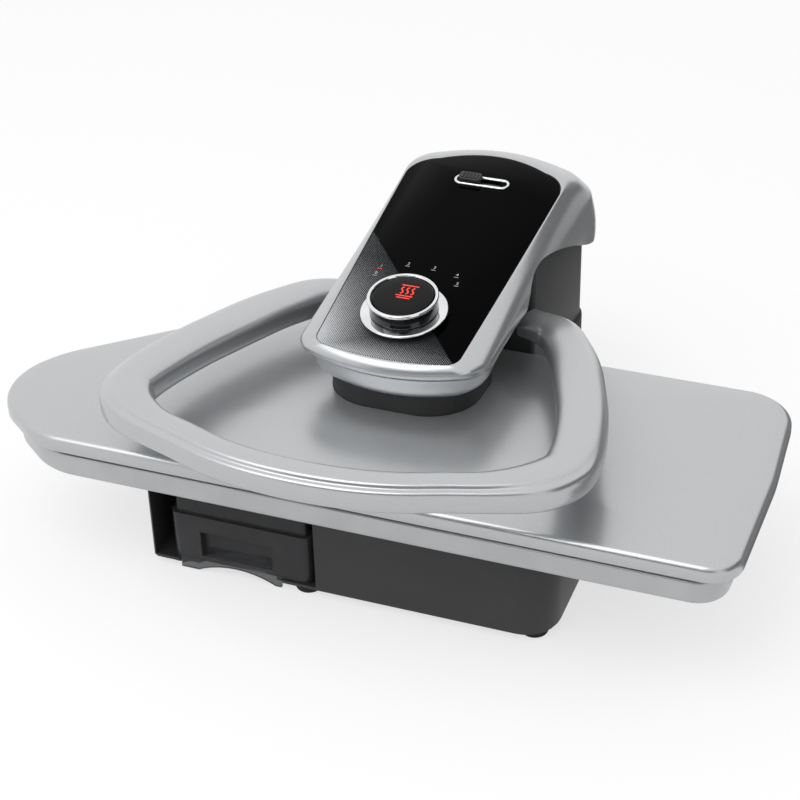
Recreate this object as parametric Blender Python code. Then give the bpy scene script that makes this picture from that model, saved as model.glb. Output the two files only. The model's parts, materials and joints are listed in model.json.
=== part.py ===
"""Steam ironing press: a hinged pressing shoe over a padded board, on a base with a water tank.

X runs to the right, Y to the back and Z up. The origin is on the table under the middle
of the press. Lengths are metres.
"""

import math

import bmesh
import bpy
from mathutils import Matrix, Vector

# Overall sizes
PRESS_DEPTH = 0.547
BOARD_LENGTH = 0.660
COVER_DEPTH = 0.265
COVER_FRONT_INSET = 0.0805
GAP = 0.0003
RUNNING_GAP = 0.0005
OVERRUN = 0.010
WELD = 0.00001
ARM_X = 0.005

# Base tub
FOOT_HEIGHT = 0.0060
FOOT_RADIUS = 0.012
PLATE_THICKNESS = 0.0022
PLATE_LIP = 0.0015
BASE_TOP = 0.0897
BASE_EDGE = 0.0040
BASE_WALL = 0.003
BASE_X = -0.0015
BASE_HALF_WIDTH = 0.179
BASE_FRONT_INSET = 0.1055
BASE_BACK = 0.254
BASE_FRONT_RADIUS = 0.030
BASE_LEFT_RADIUS = 0.004
BASE_BACK_RADIUS = 0.031
WING_BACK = 0.078
WING_RADIUS = 0.030
TAIL_HALF_WIDTH = 0.083
BAY_RIGHT_X = -0.028
BAY_DEPTH = 0.128
BAY_FLOOR = 0.0018
NOTCH_X = -0.102
NOTCH_RADIUS = 0.040
NOTCH_DEPTH = 0.028

# Lower board
PAN_THICKNESS = 0.0025
PAN_HEIGHT = 0.0212
PAN_CORNER = 0.0010
PAN_END_INSET = 0.010
PAN_SIDE_INSET = 0.004
FOAM_HEIGHT = 0.0135
PAD_HEIGHT = 0.0064
PAD_EDGE = 0.0045
PAD_DRAW = 0.0006

# Pressing shoe
SOLE_GAP = 0.0008
SOLE_THICKNESS = 0.0022
SOLE_INSET = 0.0036
SHOE_LIFT = 0.0014
SHOE_WALL = 0.003
RIM_HEIGHT = 0.0125
RIM_ROUND = 0.0060
RIM_LIP = 0.0010
CROWN_HEIGHT = 0.0103
STEAM_HOLE_RADIUS = 0.0022
STEAM_ROWS = 4
STEAM_COLUMNS = 8
STEAM_PITCH_X = 0.056
STEAM_PITCH_Y = 0.040
BLOCK_THICKNESS = 0.0055
BLOCK_SHARE = 0.80
ELEMENT_RADIUS = 0.0035
ELEMENT_SHARE = 0.62
SHEET_THICKNESS = 0.0015
SHEET_SHARE = 0.72
THERMOSTAT_RADIUS = 0.009
THERMOSTAT_HEIGHT = 0.0035
THERMOSTAT_X = 0.106
CHAMBER_HEIGHT = 0.0050
CHAMBER_LENGTH = 0.092
CHAMBER_DEPTH = 0.046
CHAMBER_RADIUS = 0.008
CHAMBER_SHIFT = -0.009

# Hinge, tower and bracket
HINGE_Y = 0.173
HINGE_Z = 0.150
TOWER_FRONT = 0.083
TOWER_BACK = 0.078
TOWER_FRONT_HALF = 0.076
TOWER_BACK_HALF = 0.0825
TOWER_WALL = 0.003
TOWER_BACK_RADIUS = 0.030
TOWER_FRONT_RADIUS = 0.004
TOWER_TOP_RADIUS = 0.082
TOWER_NOSE_RADIUS = 0.097
TOWER_SHOULDER = 0.012
SLOT_HALF = 0.046
SLOT_BELOW = 0.015
SLOT_BACK = 0.058
SHAFT_RADIUS = 0.008
SHAFT_HALF = 0.069
BUSH_RADIUS = 0.013
BRACKET_X = 0.052
BRACKET_THICKNESS = 0.004
BRACKET_DEPTH = 0.050
BRACKET_HEAD = 0.020
BRACKET_PORT = 0.006
SPRING_WIRE = 0.0022
SPRING_TURNS = 3
SPRING_PITCH = 0.0030
SPRING_BORE = 0.0095
SPRING_LEG = 0.024
SPRING_POINTS = 10
SWIVEL_WIDTH = 0.006
SWIVEL_RADIUS = 0.016
SWIVEL_GAP = 0.0035

# Arm frame inside the head
FRAME_HALF = 0.0395
FRAME_SHEET = 0.003
FRAME_LOW = 0.1618
FRAME_HIGH = 0.178
FRAME_NOSE = 0.239
FRAME_WEB = 0.104
FRAME_BOSS = 0.018
CROSSBAR_Y = 0.056
CROSSBAR_RADIUS = 0.0055
CROSSBAR_Z = 0.1685
CROSSBAR_SOCKET = 0.012

# Head shell
HEAD_LENGTH = 0.3675
HEAD_HALF_WIDTH = 0.092
HEAD_DROP = 0.118
HEAD_WALL = 0.003
HEAD_TOP_WALL = 0.0066
PANEL_SLOPE = 10.0
PANEL_FRONT_INSET = 0.0065
PANEL_FRONT_Z = 0.1964
PANEL_LENGTH = 0.297
PANEL_HALF_WIDTH = 0.074
PANEL_RECESS = 0.0033
PANEL_GAP = 0.0006
PANEL_BOW = 0.022
PANEL_FRONT_RADIUS = 0.008
PANEL_BACK_RADIUS = 0.020
PANEL_WIDTH_SHARES = (0.851, 0.932, 1.0)
ARCH_BASE_Z = 0.165
ARCH_RISE = 0.048

# Neck between the head and the shoe
NECK_Y = -0.019
NECK_HALF_WIDTH = 0.066
NECK_HALF_DEPTH = 0.057
NECK_RADIUS = 0.046
NECK_WALL = 0.003
NECK_TOP = 0.1610
POST_RADIUS = 0.022

# Loop handle
HANDLE_HALF_WIDTH = 0.185
HANDLE_WIDTH = 0.042
HANDLE_BAR_WIDTH = 0.030
HANDLE_HEIGHT = 0.030
HANDLE_BACK_Z = 0.1655
HANDLE_SLOPE = 0.062
HANDLE_INNER = 0.079
HANDLE_SQUARENESS = 2.5
HANDLE_STEPS = 32
HANDLE_SIDES = 14
HANDLE_TURN_WEIGHT = 0.060

# Dial, steam button and their parts under the panel
DIAL_BACK = 0.0537
COLLAR_RADIUS = 0.029
COLLAR_HEIGHT = 0.0047
BEZEL_RADIUS = 0.0371
BEZEL_HEIGHT = 0.0032
GRIP_RADIUS = 0.0293
GRIP_WAIST = 0.0008
GRIP_WALL = 0.0030
GRIP_HEIGHT = 0.0112
GRIP_FLOOR = 0.0030
DIAL_RIM_RADIUS = 0.0302
DIAL_RIM_WIDTH = 0.0034
DIAL_RIM_HEIGHT = 0.0028
CAP_HEIGHT = 0.0065
CAP_SINK = 0.0006
BUTTON_TRAVEL = 0.0016
DIAL_SHAFT_RADIUS = 0.0058
BUTTON_POST_RADIUS = 0.0030
DIAL_HOLE_RADIUS = 0.0064
ENCODER_SIZE = 0.018
ENCODER_GRASP = 0.0030
BOARD_DROP = 0.0140
BOARD_THICKNESS = 0.0016
BOARD_HALF_WIDTH = 0.050
BOARD_FRONT = 0.013
BOARD_RUN = 0.120
STANDOFF_RADIUS = 0.0030

# Carrying lock
LOCK_BACK = 0.254
LOCK_RING_LENGTH = 0.0556
LOCK_RING_WIDTH = 0.0150
LOCK_RING_WALL = 0.0028
LOCK_RING_HEIGHT = 0.0018
LOCK_TRAVEL = 0.022
SLIDER_LENGTH = 0.0210
SLIDER_WIDTH = 0.0120
SLIDER_HEIGHT = 0.0070
STEM_SIZE = 0.0060
LOCK_SLOT_WIDTH = 0.0076
BOLT_DROP = 0.022
BOLT_RADIUS = 0.0030
KEEPER_X = 0.0160
KEEPER_CLEARANCE = 0.0006
KEEPER_THICKNESS = 0.0035
KEEPER_HOLE = 0.0045
KEEPER_HEIGHT = 0.020
KEEPER_WIDTH = 0.020
KEEPER_REACH = 0.014

# Water tank
TANK_SIDE_GAP = 0.0160
TANK_RIGHT_GAP = 0.0045
TANK_FRONT_INSET = 0.0015
TANK_FLOOR_GAP = 0.0003
TANK_BACK_GAP = 0.006
TANK_WALL = 0.0025
TANK_SIDE_HEIGHT = 0.0465
TANK_LEDGE = 0.0040
TANK_TOP_HEIGHT = 0.0621
TANK_CORNER = 0.008
POCKET_WIDTH = 0.066
POCKET_HEIGHT = 0.0254
POCKET_DEPTH = 0.009
POCKET_LIFT = 0.0057
POCKET_SHIFT = -0.0036
APRON_LEFT = -0.1540
APRON_RIGHT = -0.0605
APRON_THICKNESS = 0.0028
APRON_LOW = 0.0015
ARCH_HEIGHT = 0.0085
ARCH_RADIUS = 0.0805
CAP_RADIUS = 0.017
CAP_TALL = 0.0085
CAP_NECK_RADIUS = 0.0125
CAP_NECK_HEIGHT = 0.0060
CAP_NECK_BORE = 0.0100
CAP_TOP = 0.0018
CAP_RIB = 0.0008
CAP_RIBS = 12
SPIGOT_RADIUS = 0.006
SPIGOT_LENGTH = 0.016
SPIGOT_BORE = 0.0035
SPIGOT_Z = 0.022
DOCK_RADIUS = 0.010
DOCK_LENGTH = 0.022
DOCK_SOCKET = 0.014
DOCK_NOZZLE = 0.0045

# Pump, hoses and electronics in the base
PUMP_X = 0.081
PUMP_Y = -0.040
PUMP_Z = 0.040
PUMP_LENGTH = 0.062
PUMP_RADIUS = 0.017
PUMP_NECK = 0.012
PUMP_SHOULDER = 0.006
PUMP_NOZZLE = 0.0045
PUMP_NOZZLE_LENGTH = 0.010
MOUNT_THICKNESS = 0.008
MOUNT_WIDTH = 0.030
MOUNT_TOP = 0.030
HOSE_RADIUS = 0.0032
HOSE_END_GAP = 0.0006
SUPPLY_X = 0.056
SUPPLY_Y = -0.115
SUPPLY_LENGTH = 0.110
SUPPLY_DEPTH = 0.060
SUPPLY_STANDOFF = 0.006
INLET_RADIUS = 0.0075
INLET_LENGTH = 0.020
INLET_FLANGE = 0.012
INLET_FLANGE_THICKNESS = 0.0025
INLET_BORE = 0.0038
INLET_X = 0.056
INLET_Z = 0.045
SCREW_RADIUS = 0.0038
SCREW_HEAD = 0.0018
SCREW_SHANK = 0.0018
SCREW_LENGTH = 0.012
BOSS_RADIUS = 0.0050
BOSS_HEIGHT = 0.020

# Counts of the steps and sides that round forms have
ARC_STEP = math.radians(13)
BACK_TURN = math.radians(75)
FRONT_STEPS = 1
CORNER_STEPS = 5
SIDE_STEPS = 8
BACK_STEPS = 6
BOW_STEPS = 4
TOWER_NOSE_STEPS = 3
TOWER_TOP_STEPS = 8
BRACKET_STEPS = 10
FRAME_STEPS = 12
FRAME_TURN_START = 250
FRAME_TURN = 220
ROUND_SIDES = 20
DIAL_SIDES = 32
SCREW_SIDES = 8

# Derived places
FRONT_Y = -PRESS_DEPTH / 2
BACK_Y = PRESS_DEPTH / 2
HEAD_FRONT_Y = BACK_Y - HEAD_LENGTH
PANEL_FRONT_Y = HEAD_FRONT_Y + PANEL_FRONT_INSET
BASE_FRONT = FRONT_Y + BASE_FRONT_INSET
BASE_LEFT = BASE_X - BASE_HALF_WIDTH
BASE_RIGHT = BASE_X + BASE_HALF_WIDTH
TAIL_LEFT = ARM_X - TAIL_HALF_WIDTH
TAIL_RIGHT = ARM_X + TAIL_HALF_WIDTH
PLATE_LOW = FOOT_HEIGHT + GAP
BASE_LOW = PLATE_LOW + PLATE_THICKNESS + GAP
PAN_LOW = BASE_TOP + GAP
PAN_TOP = PAN_LOW + PAN_HEIGHT
FOAM_LOW = PAN_LOW + PAN_THICKNESS + GAP
PAD_LOW = FOAM_LOW + FOAM_HEIGHT + GAP
PAD_TOP = PAD_LOW + PAD_HEIGHT
SOLE_LOW = PAD_TOP + SOLE_GAP
SOLE_TOP = SOLE_LOW + SOLE_THICKNESS
BLOCK_LOW = SOLE_TOP + GAP
BLOCK_TOP = BLOCK_LOW + BLOCK_THICKNESS
COVER_LOW = SOLE_LOW + SHOE_LIFT
RIM_TOP = COVER_LOW + RIM_HEIGHT
ELEMENT_TOP = BLOCK_TOP + GAP + 2 * ELEMENT_RADIUS
SHEET_LOW = ELEMENT_TOP + GAP
NECK_LOW = SHEET_LOW + SHEET_THICKNESS + GAP
POST_LOW = BLOCK_TOP + CHAMBER_HEIGHT + GAP
PLATE_TOP = PLATE_LOW + PLATE_THICKNESS
BAY_BACK = BASE_FRONT + BAY_DEPTH
TANK_LOW = BASE_LOW + BAY_FLOOR + TANK_FLOOR_GAP
BOARD_Y = FRONT_Y + COVER_FRONT_INSET + COVER_DEPTH / 2
TOWER_LOW = BASE_TOP + GAP
SLOPE = math.radians(PANEL_SLOPE)
HEAD_CEILING = PANEL_FRONT_Z + PANEL_LENGTH / 2
HANDLE_FRONT_Y = FRONT_Y + HANDLE_BAR_WIDTH / 2

# Outline of the board, as shares of its half length and half depth, with corner radii
BOARD_CORNER_SHARES = (
    (-0.794, -1.000, 0.45),
    (0.991, -1.000, 0.21),
    (1.003, 0.040, 2.00),
    (0.986, 1.000, 0.34),
    (-0.505, 1.000, 0.60),
    (-0.935, -0.020, 0.60),
    (-1.000, -0.330, 0.45),
    (-0.960, -0.690, 0.45),
)

# Rings of the head's skin from the panel down: insets from the front and the back as shares
# of its length, half widths at the front, middle and back and the three radii as shares of
# its half width, and drops at the front and the back as shares of its full drop.
HEAD_RING_SHARES = (
    (0.0136, 0.1660, 0.712, 0.777, 0.832, 0.000, 0.000, 0.098, 0.260, 0.217),
    (0.0068, 0.1360, 0.761, 0.826, 0.880, 0.013, 0.033, 0.152, 0.304, 0.196),
    (0.0000, 0.0871, 0.853, 0.897, 0.951, 0.051, 0.123, 0.217, 0.370, 0.152),
    (0.0041, 0.0381, 0.897, 0.929, 0.989, 0.093, 0.297, 0.250, 0.402, 0.120),
    (0.0231, 0.0109, 0.908, 0.935, 1.000, 0.144, 0.500, 0.228, 0.413, 0.098),
    (0.0272, 0.0014, 0.891, 0.885, 1.000, 0.178, 0.653, 0.228, 0.413, 0.087),
    (0.0327, 0.0000, 0.853, 0.825, 0.989, 0.263, 0.763, 0.240, 0.402, 0.087),
    (0.0422, 0.0041, 0.794, 0.750, 0.957, 0.331, 0.881, 0.300, 0.380, 0.087),
    (0.0585, 0.0163, 0.717, 0.680, 0.913, 0.364, 1.000, 0.370, 0.360, 0.087),
)
INNER_SINK_SHARES = (1.00, 0.76, 0.50, 0.25, 0.10, 0.00, 0.00, -0.15, -0.50)

# Lower edge of the head's side: distance from the front as a share of the head's length,
# and height as a share of the arch's rise
EDGE_SHARES = (
    (-0.040, 0.281),
    (0.048, 0.281),
    (0.143, 0.229),
    (0.233, 0.104),
    (0.306, 0.042),
    (0.3565, 0.042),
)
ARCH_SHARES = (
    (0.3578, 0.479),
    (0.374, 0.646),
    (0.396, 0.792),
    (0.434, 0.938),
    (0.472, 1.000),
    (0.513, 1.000),
    (0.578, 0.906),
    (0.641, 0.750),
    (0.717, 0.520),
    (0.793, 0.250),
    (0.886, 0.010),
    (1.046, 0.000),
)

# Half of the loop handle's centre line, from the front to where it meets the head:
# shares of its half width and of the way from its front to the crossbar
HANDLE_PATH_SHARES = (
    (0.000, 0.000),
    (0.211, 0.008),
    (0.400, 0.032),
    (0.584, 0.073),
    (0.757, 0.112),
    (0.908, 0.169),
    (0.989, 0.240),
    (1.000, 0.315),
    (0.978, 0.410),
    (0.930, 0.529),
    (0.870, 0.637),
    (0.778, 0.784),
    (0.690, 0.885),
    (0.585, 0.970),
    (0.500, 1.010),
)

# Section of the loop handle from its front to its end: share of the half length, then width
# and height as shares of the full ones
HANDLE_SECTION_SHARES = (
    (0.00, 0.714, 0.867),
    (0.27, 0.714, 0.867),
    (0.40, 1.000, 1.000),
    (0.74, 1.000, 1.000),
    (0.88, 0.880, 1.000),
    (1.00, 0.714, 0.700),
)

FINISHES = {
    "silver_paint": ((0.49, 0.50, 0.52), 0.35, 0.0, 1.0),
    "grey_plastic": ((0.11, 0.11, 0.11), 0.45, 0.0, 1.0),
    "dark_plastic": ((0.04, 0.04, 0.04), 0.50, 0.0, 1.0),
    "black_gloss": ((0.01, 0.01, 0.01), 0.10, 0.0, 1.0),
    "smoke_plastic": ((0.05, 0.05, 0.05), 0.15, 0.0, 0.6),
    "chrome": ((0.80, 0.80, 0.82), 0.08, 1.0, 1.0),
    "steel": ((0.45, 0.45, 0.46), 0.35, 1.0, 1.0),
    "aluminium": ((0.60, 0.61, 0.62), 0.35, 1.0, 1.0),
    "brass": ((0.60, 0.45, 0.20), 0.35, 1.0, 1.0),
    "rubber": ((0.02, 0.02, 0.02), 0.80, 0.0, 1.0),
    "foam": ((0.60, 0.58, 0.50), 0.95, 0.0, 1.0),
    "silver_cloth": ((0.50, 0.50, 0.50), 0.60, 0.0, 1.0),
    "glass_wool": ((0.75, 0.70, 0.55), 0.95, 0.0, 1.0),
    "circuit_board": ((0.03, 0.15, 0.06), 0.50, 0.0, 1.0),
}

CROWN_SHARES = ((0.955, 0.300), (0.86, 0.470), (0.68, 0.720), (0.45, 0.900), (0.22, 1.000))
PAD_CROWN_SHARES = ((0.93, 0.80), (0.70, 0.95), (0.35, 1.00))

# Rounding of the shoe's rim: inset and drop as shares of its radius
RIM_SHARES = ((0.0, 0.53), (0.13, 0.0), (0.42, -0.33))

# Shoulders of the tower: place across its half width and how far the top sinks there
TOWER_SHOULDER_SHARES = (
    (-1.00, 1.00),
    (-0.87, 0.42),
    (-0.81, 0.12),
    (-0.75, 0.00),
    (0.75, 0.00),
    (0.81, 0.12),
    (0.87, 0.42),
    (1.00, 1.00),
)

# U of the heating element, as shares of its half length and half width
ELEMENT_PATH_SHARES = (
    (0.95, 0.90),
    (0.40, 0.96),
    (-0.30, 0.90),
    (-0.80, 0.55),
    (-0.93, 0.00),
    (-0.80, -0.60),
    (-0.30, -0.92),
    (0.40, -0.96),
    (0.95, -0.90),
)

# Parts of the supply: place, half size and height as shares of its board's half sizes
SUPPLY_BLOCK_SHARES = (
    (-0.55, 0.10, 0.30, 0.45, 0.70),
    (0.15, -0.35, 0.22, 0.35, 0.50),
    (0.65, 0.30, 0.18, 0.40, 0.35),
)


def clear_scene():
    """Remove every object, so that the model is made afresh."""
    for item in list(bpy.data.objects):
        bpy.data.objects.remove(item, do_unlink=True)


def paint(item, finish):
    """Give an object its own Principled material."""
    colour, roughness, metallic, alpha = FINISHES[finish]
    material = bpy.data.materials.new(item.name + "_" + finish)
    material.use_nodes = True
    shader = material.node_tree.nodes["Principled BSDF"]
    shader.inputs["Base Color"].default_value = (*colour, 1.0)
    shader.inputs["Roughness"].default_value = roughness
    shader.inputs["Metallic"].default_value = metallic
    shader.inputs["Alpha"].default_value = alpha
    item.data.materials.append(material)


def add_object(name, bm, finish=None):
    """Turn a bmesh into a smooth-shaded object of the scene."""
    bmesh.ops.recalc_face_normals(bm, faces=bm.faces)
    mesh = bpy.data.meshes.new(name)
    bm.to_mesh(mesh)
    bm.free()
    mesh.shade_smooth()
    mesh.set_sharp_from_angle(angle=math.radians(35))
    item = bpy.data.objects.new(name, mesh)
    bpy.context.scene.collection.objects.link(item)
    if finish:
        paint(item, finish)
    return item


def combine(target, tool, operation):
    """Add a Boolean to the target and hide its tool."""
    modifier = target.modifiers.new(tool.name, "BOOLEAN")
    modifier.operation = operation
    modifier.solver = "EXACT"
    modifier.object = tool
    tool.hide_render = True
    tool.display_type = "WIRE"


def cut(target, *tools):
    """Cut the tools out of the target."""
    for tool in tools:
        combine(target, tool, "DIFFERENCE")


def rounded(corners):
    """Outline with arcs at its corners; each corner is x, y and radius."""
    outline = []
    count = len(corners)
    for index, (x, y, radius) in enumerate(corners):
        corner = Vector((x, y))
        before = Vector(corners[index - 1][:2]) - corner
        after = Vector(corners[(index + 1) % count][:2]) - corner
        inner = before.angle(after)
        bend = math.pi - inner
        if radius <= 0 or bend < math.radians(1):
            outline.append((x, y))
            continue
        reach = radius * math.tan(bend / 2)
        middle = (before.normalized() + after.normalized()).normalized()
        centre = corner + middle * (radius / math.cos(bend / 2))
        start = corner + before.normalized() * reach - centre
        side = 1 if before.x * after.y - before.y * after.x < 0 else -1
        steps = max(2, round(bend / ARC_STEP))
        for step in range(steps + 1):
            spin = Matrix.Rotation(side * bend * step / steps, 2)
            outline.append(tuple(centre + spin @ start))
    return outline


def shift(points, inset):
    """Move a counter-clockwise outline inwards by an even inset."""
    moved = []
    count = len(points)
    for index, point in enumerate(points):
        here = Vector(point)
        back = (here - Vector(points[index - 1])).normalized()
        ahead = (Vector(points[(index + 1) % count]) - here).normalized()
        normal = (Vector((-back.y, back.x)) + Vector((-ahead.y, ahead.x))).normalized()
        mitre = max(normal.dot(Vector((-ahead.y, ahead.x))), 0.5)
        moved.append(tuple(here + normal * inset / mitre))
    return moved


def scaled(points, share, centre):
    """Shrink an outline towards a centre."""
    return [
        (centre[0] + (x - centre[0]) * share, centre[1] + (y - centre[1]) * share)
        for x, y in points
    ]


def level(points, height):
    """Lift a flat outline to a height."""
    return [(x, y, height) for x, y in points]


def cap(bm, loop, strips):
    """Close a ring with one face, or with strips across behind its flat front."""
    if not strips:
        bm.faces.new(loop)
        return
    bm.faces.new(loop[-FRONT_STEPS - 1:] + loop[:FRONT_STEPS + 2])
    for index in range(FRONT_STEPS + 1, len(loop) // 2):
        pair = [loop[index], loop[index + 1], loop[-index - 1], loop[-index]]
        bm.faces.new(list(dict.fromkeys(pair)))


def loft(name, rings, finish=None, strips=False, joined=False):
    """Skin through rings of equal count, closed at both ends or joined end to end."""
    bm = bmesh.new()
    loops = [[bm.verts.new(point) for point in ring] for ring in rings]
    if joined:
        loops.append(loops[0])
    for low, high in zip(loops, loops[1:]):
        for index in range(len(low)):
            ahead = (index + 1) % len(low)
            bm.faces.new((low[index], low[ahead], high[ahead], high[index]))
    if not joined:
        cap(bm, loops[0], strips)
        cap(bm, loops[-1], strips)
    return add_object(name, bm, finish)


def prism(name, outline, low, high, finish=None):
    """Upright solid with a flat outline."""
    return loft(name, [level(outline, low), level(outline, high)], finish)


def side_prism(name, profile, left, right, finish=None):
    """Solid whose side view is the profile of y and z, running from left to right."""
    rings = [[(x, y, z) for y, z in profile] for x in (left, right)]
    return loft(name, rings, finish)


def box(name, low, high, finish=None):
    """Rectangular solid between two corners."""
    outline = [(low[0], low[1]), (high[0], low[1]), (high[0], high[1]), (low[0], high[1])]
    return prism(name, outline, low[2], high[2], finish)


def frame_of(place, direction):
    """Matrix that takes Z to a direction at a place."""
    turn = Vector((0, 0, 1)).rotation_difference(Vector(direction))
    return Matrix.Translation(place) @ turn.to_matrix().to_4x4()


def turned(name, profile, matrix, sides, finish=None, joined=False):
    """Spin a profile of radius and height; a joined profile closes on itself as a ring."""
    bm = bmesh.new()
    verts = [bm.verts.new((radius, 0, height)) for radius, height in profile]
    edges = [bm.edges.new(pair) for pair in zip(verts, verts[1:])]
    if joined:
        edges.append(bm.edges.new((verts[-1], verts[0])))
    bmesh.ops.spin(
        bm,
        geom=verts + edges,
        cent=(0, 0, 0),
        axis=(0, 0, 1),
        angle=math.tau,
        steps=sides,
        use_merge=True,
    )
    bmesh.ops.remove_doubles(bm, verts=bm.verts, dist=WELD)
    bmesh.ops.holes_fill(bm, edges=[edge for edge in bm.edges if edge.is_boundary])
    bmesh.ops.transform(bm, matrix=matrix, verts=bm.verts)
    return add_object(name, bm, finish)


def rod(name, start, end, radius, sides, finish=None):
    """Round bar between two points."""
    way = Vector(end) - Vector(start)
    profile = [(radius, 0), (radius, way.length)]
    return turned(name, profile, frame_of(start, way), sides, finish)


def pipe(name, start, end, bore, radius, sides, finish=None):
    """Round bar with a bore, between two points."""
    way = Vector(end) - Vector(start)
    profile = [(bore, 0), (radius, 0), (radius, way.length), (bore, way.length)]
    return turned(name, profile, frame_of(start, way), sides, finish, joined=True)


def join_meshes(name, pieces, finish=None):
    """One object that holds separate solids."""
    bm = bmesh.new()
    for piece in pieces:
        bm.from_mesh(piece.data)
        bpy.data.objects.remove(piece, do_unlink=True)
    return add_object(name, bm, finish)


def smooth_route(points, steps):
    """Points of a smooth curve through the given ones."""
    ends = [points[0]] + list(points) + [points[-1]]
    route = []
    for index in range(1, len(ends) - 2):
        a, b, c, d = (Vector(ends[index + k]) for k in (-1, 0, 1, 2))
        for step in range(steps):
            t = step / steps
            route.append(
                (2 * b + (c - a) * t + (2 * a - 5 * b + 4 * c - d) * t**2
                 + (3 * b - a - 3 * c + d) * t**3) / 2
            )
    return route + [Vector(points[-1])]


def hose(name, points, radius, finish, steps=4):
    """Round tube along a smooth route."""
    curve = bpy.data.curves.new(name, "CURVE")
    curve.dimensions = "3D"
    curve.bevel_depth = radius
    curve.bevel_resolution = 1
    curve.use_fill_caps = True
    spline = curve.splines.new("POLY")
    route = smooth_route(points, steps)
    spline.points.add(len(route) - 1)
    for point, place in zip(spline.points, route):
        point.co = (*place, 1)
    item = bpy.data.objects.new(name, curve)
    bpy.context.scene.collection.objects.link(item)
    paint(item, finish)
    return item


def panel_z(y):
    """Height of the sloping panel's plane."""
    return PANEL_FRONT_Z + (y - PANEL_FRONT_Y) * math.tan(SLOPE)


def on_panel(back, lift=0.0, across=0.0):
    """Point a distance back along the panel, raised square to it."""
    y = PANEL_FRONT_Y + back
    normal = Vector((0, -math.sin(SLOPE), math.cos(SLOPE)))
    return Vector((ARM_X + across, y, panel_z(y))) + normal * lift


def panel_frame(back, lift=0.0, across=0.0):
    """Matrix whose Z is square to the panel at a point of it."""
    place = Matrix.Translation(on_panel(back, lift, across))
    return place @ Matrix.Rotation(SLOPE, 4, "X")


def tilted_prism(name, outline, low, high, matrix, finish=None):
    """Prism made flat and then laid on the panel."""
    item = prism(name, outline, low, high, finish)
    item.data.transform(matrix)
    return item


def stadium(length, width, steps=5):
    """Outline of a slot with round ends."""
    radius = width / 2
    outline = []
    for side in (1, -1):
        for step in range(steps + 1):
            angle = -math.pi / 2 + math.pi * step / steps
            x = (length / 2 - radius) + radius * math.cos(angle)
            outline.append((side * x, side * radius * math.sin(angle)))
    return outline


def rectangle(width, depth, radius=0.0, x=0.0, y=0.0):
    """Outline of a rectangle with round corners, about a centre."""
    half_x = width / 2
    half_y = depth / 2
    return rounded([
        (x - half_x, y - half_y, radius),
        (x + half_x, y - half_y, radius),
        (x + half_x, y + half_y, radius),
        (x - half_x, y + half_y, radius),
    ])


def board_outline(end_inset=0.0, side_inset=0.0):
    """Outline of the shoe or the board under it: a nose at the left, square at the right."""
    half_x = BOARD_LENGTH / 2
    half_y = COVER_DEPTH / 2
    corners = [(x * half_x, y * half_y, r * half_y) for x, y, r in BOARD_CORNER_SHARES]
    outline = rounded(corners)
    low = min(x for x, y in outline)
    high = max(x for x, y in outline)
    stretch = (BOARD_LENGTH - 2 * end_inset) / (high - low)
    squeeze = (COVER_DEPTH - 2 * side_inset) / COVER_DEPTH
    middle = (low + high) / 2
    return [((x - middle) * stretch, BOARD_Y + y * squeeze) for x, y in outline]


def base_outline(inset=0.0):
    """Outline of the base tub: wide under the board, with a tail under the tower."""
    return shift(rounded([
        (BASE_LEFT, BASE_FRONT, BASE_LEFT_RADIUS),
        (BASE_RIGHT, BASE_FRONT, BASE_FRONT_RADIUS),
        (BASE_RIGHT, WING_BACK, WING_RADIUS),
        (TAIL_RIGHT, WING_BACK, 0),
        (TAIL_RIGHT, BASE_BACK, BASE_BACK_RADIUS),
        (TAIL_LEFT, BASE_BACK, BASE_BACK_RADIUS),
        (TAIL_LEFT, WING_BACK, 0),
        (BASE_LEFT, WING_BACK, WING_RADIUS),
    ]), inset)


def panel_outline(grow=0.0):
    """Plan outline of the sloping panel, or of its recess when grown."""
    return head_outline(
        PANEL_FRONT_Y - grow,
        PANEL_FRONT_Y + PANEL_LENGTH + grow,
        [share * PANEL_HALF_WIDTH + grow for share in PANEL_WIDTH_SHARES],
        (PANEL_FRONT_RADIUS + grow, PANEL_BACK_RADIUS + grow),
        PANEL_BOW,
    )


def head_outline(front, back, halves, radii, bow):
    """Plan outline with a flat front, slanting sides, round corners and a bowed back."""
    half_front, half_middle, half_back = halves
    radius_front, radius_back = radii
    corner_y = back - bow - radius_back * math.sin(BACK_TURN)
    flat = half_front - radius_front
    side = [(flat * step / FRONT_STEPS, front) for step in range(FRONT_STEPS)]
    for step in range(CORNER_STEPS + 1):
        angle = math.pi / 2 * step / CORNER_STEPS
        across = flat + radius_front * math.sin(angle)
        side.append((across, front + radius_front * (1 - math.cos(angle))))
    start = front + radius_front
    belly = half_middle - (half_front + half_back) / 2
    for step in range(1, SIDE_STEPS + 1):
        share = step / SIDE_STEPS
        across = half_front + (half_back - half_front) * share
        across += belly * 4 * share * (1 - share)
        side.append((across, start + (corner_y - start) * share))
    for step in range(1, BACK_STEPS + 1):
        angle = BACK_TURN * step / BACK_STEPS
        across = half_back - radius_back * (1 - math.cos(angle))
        side.append((across, corner_y + radius_back * math.sin(angle)))
    edge = side[-1][0]
    for step in range(1, BOW_STEPS):
        share = 1 - step / BOW_STEPS
        side.append((edge * share, back - bow * share * share))
    left = [(-x, y) for x, y in reversed(side[1:])]
    return [(ARM_X + x, y) for x, y in side + [(0, back)] + left]


def sloped(outline, drop_front, drop_back):
    """Lay an outline on the panel's slope, with a drop that grows from front to back."""
    front = min(y for x, y in outline)
    back = max(y for x, y in outline)
    ring = []
    for x, y in outline:
        share = (y - front) / (back - front)
        ease = share * share * (3 - 2 * share)
        ring.append((x, y, panel_z(y) - drop_front - (drop_back - drop_front) * ease))
    return ring


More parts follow.
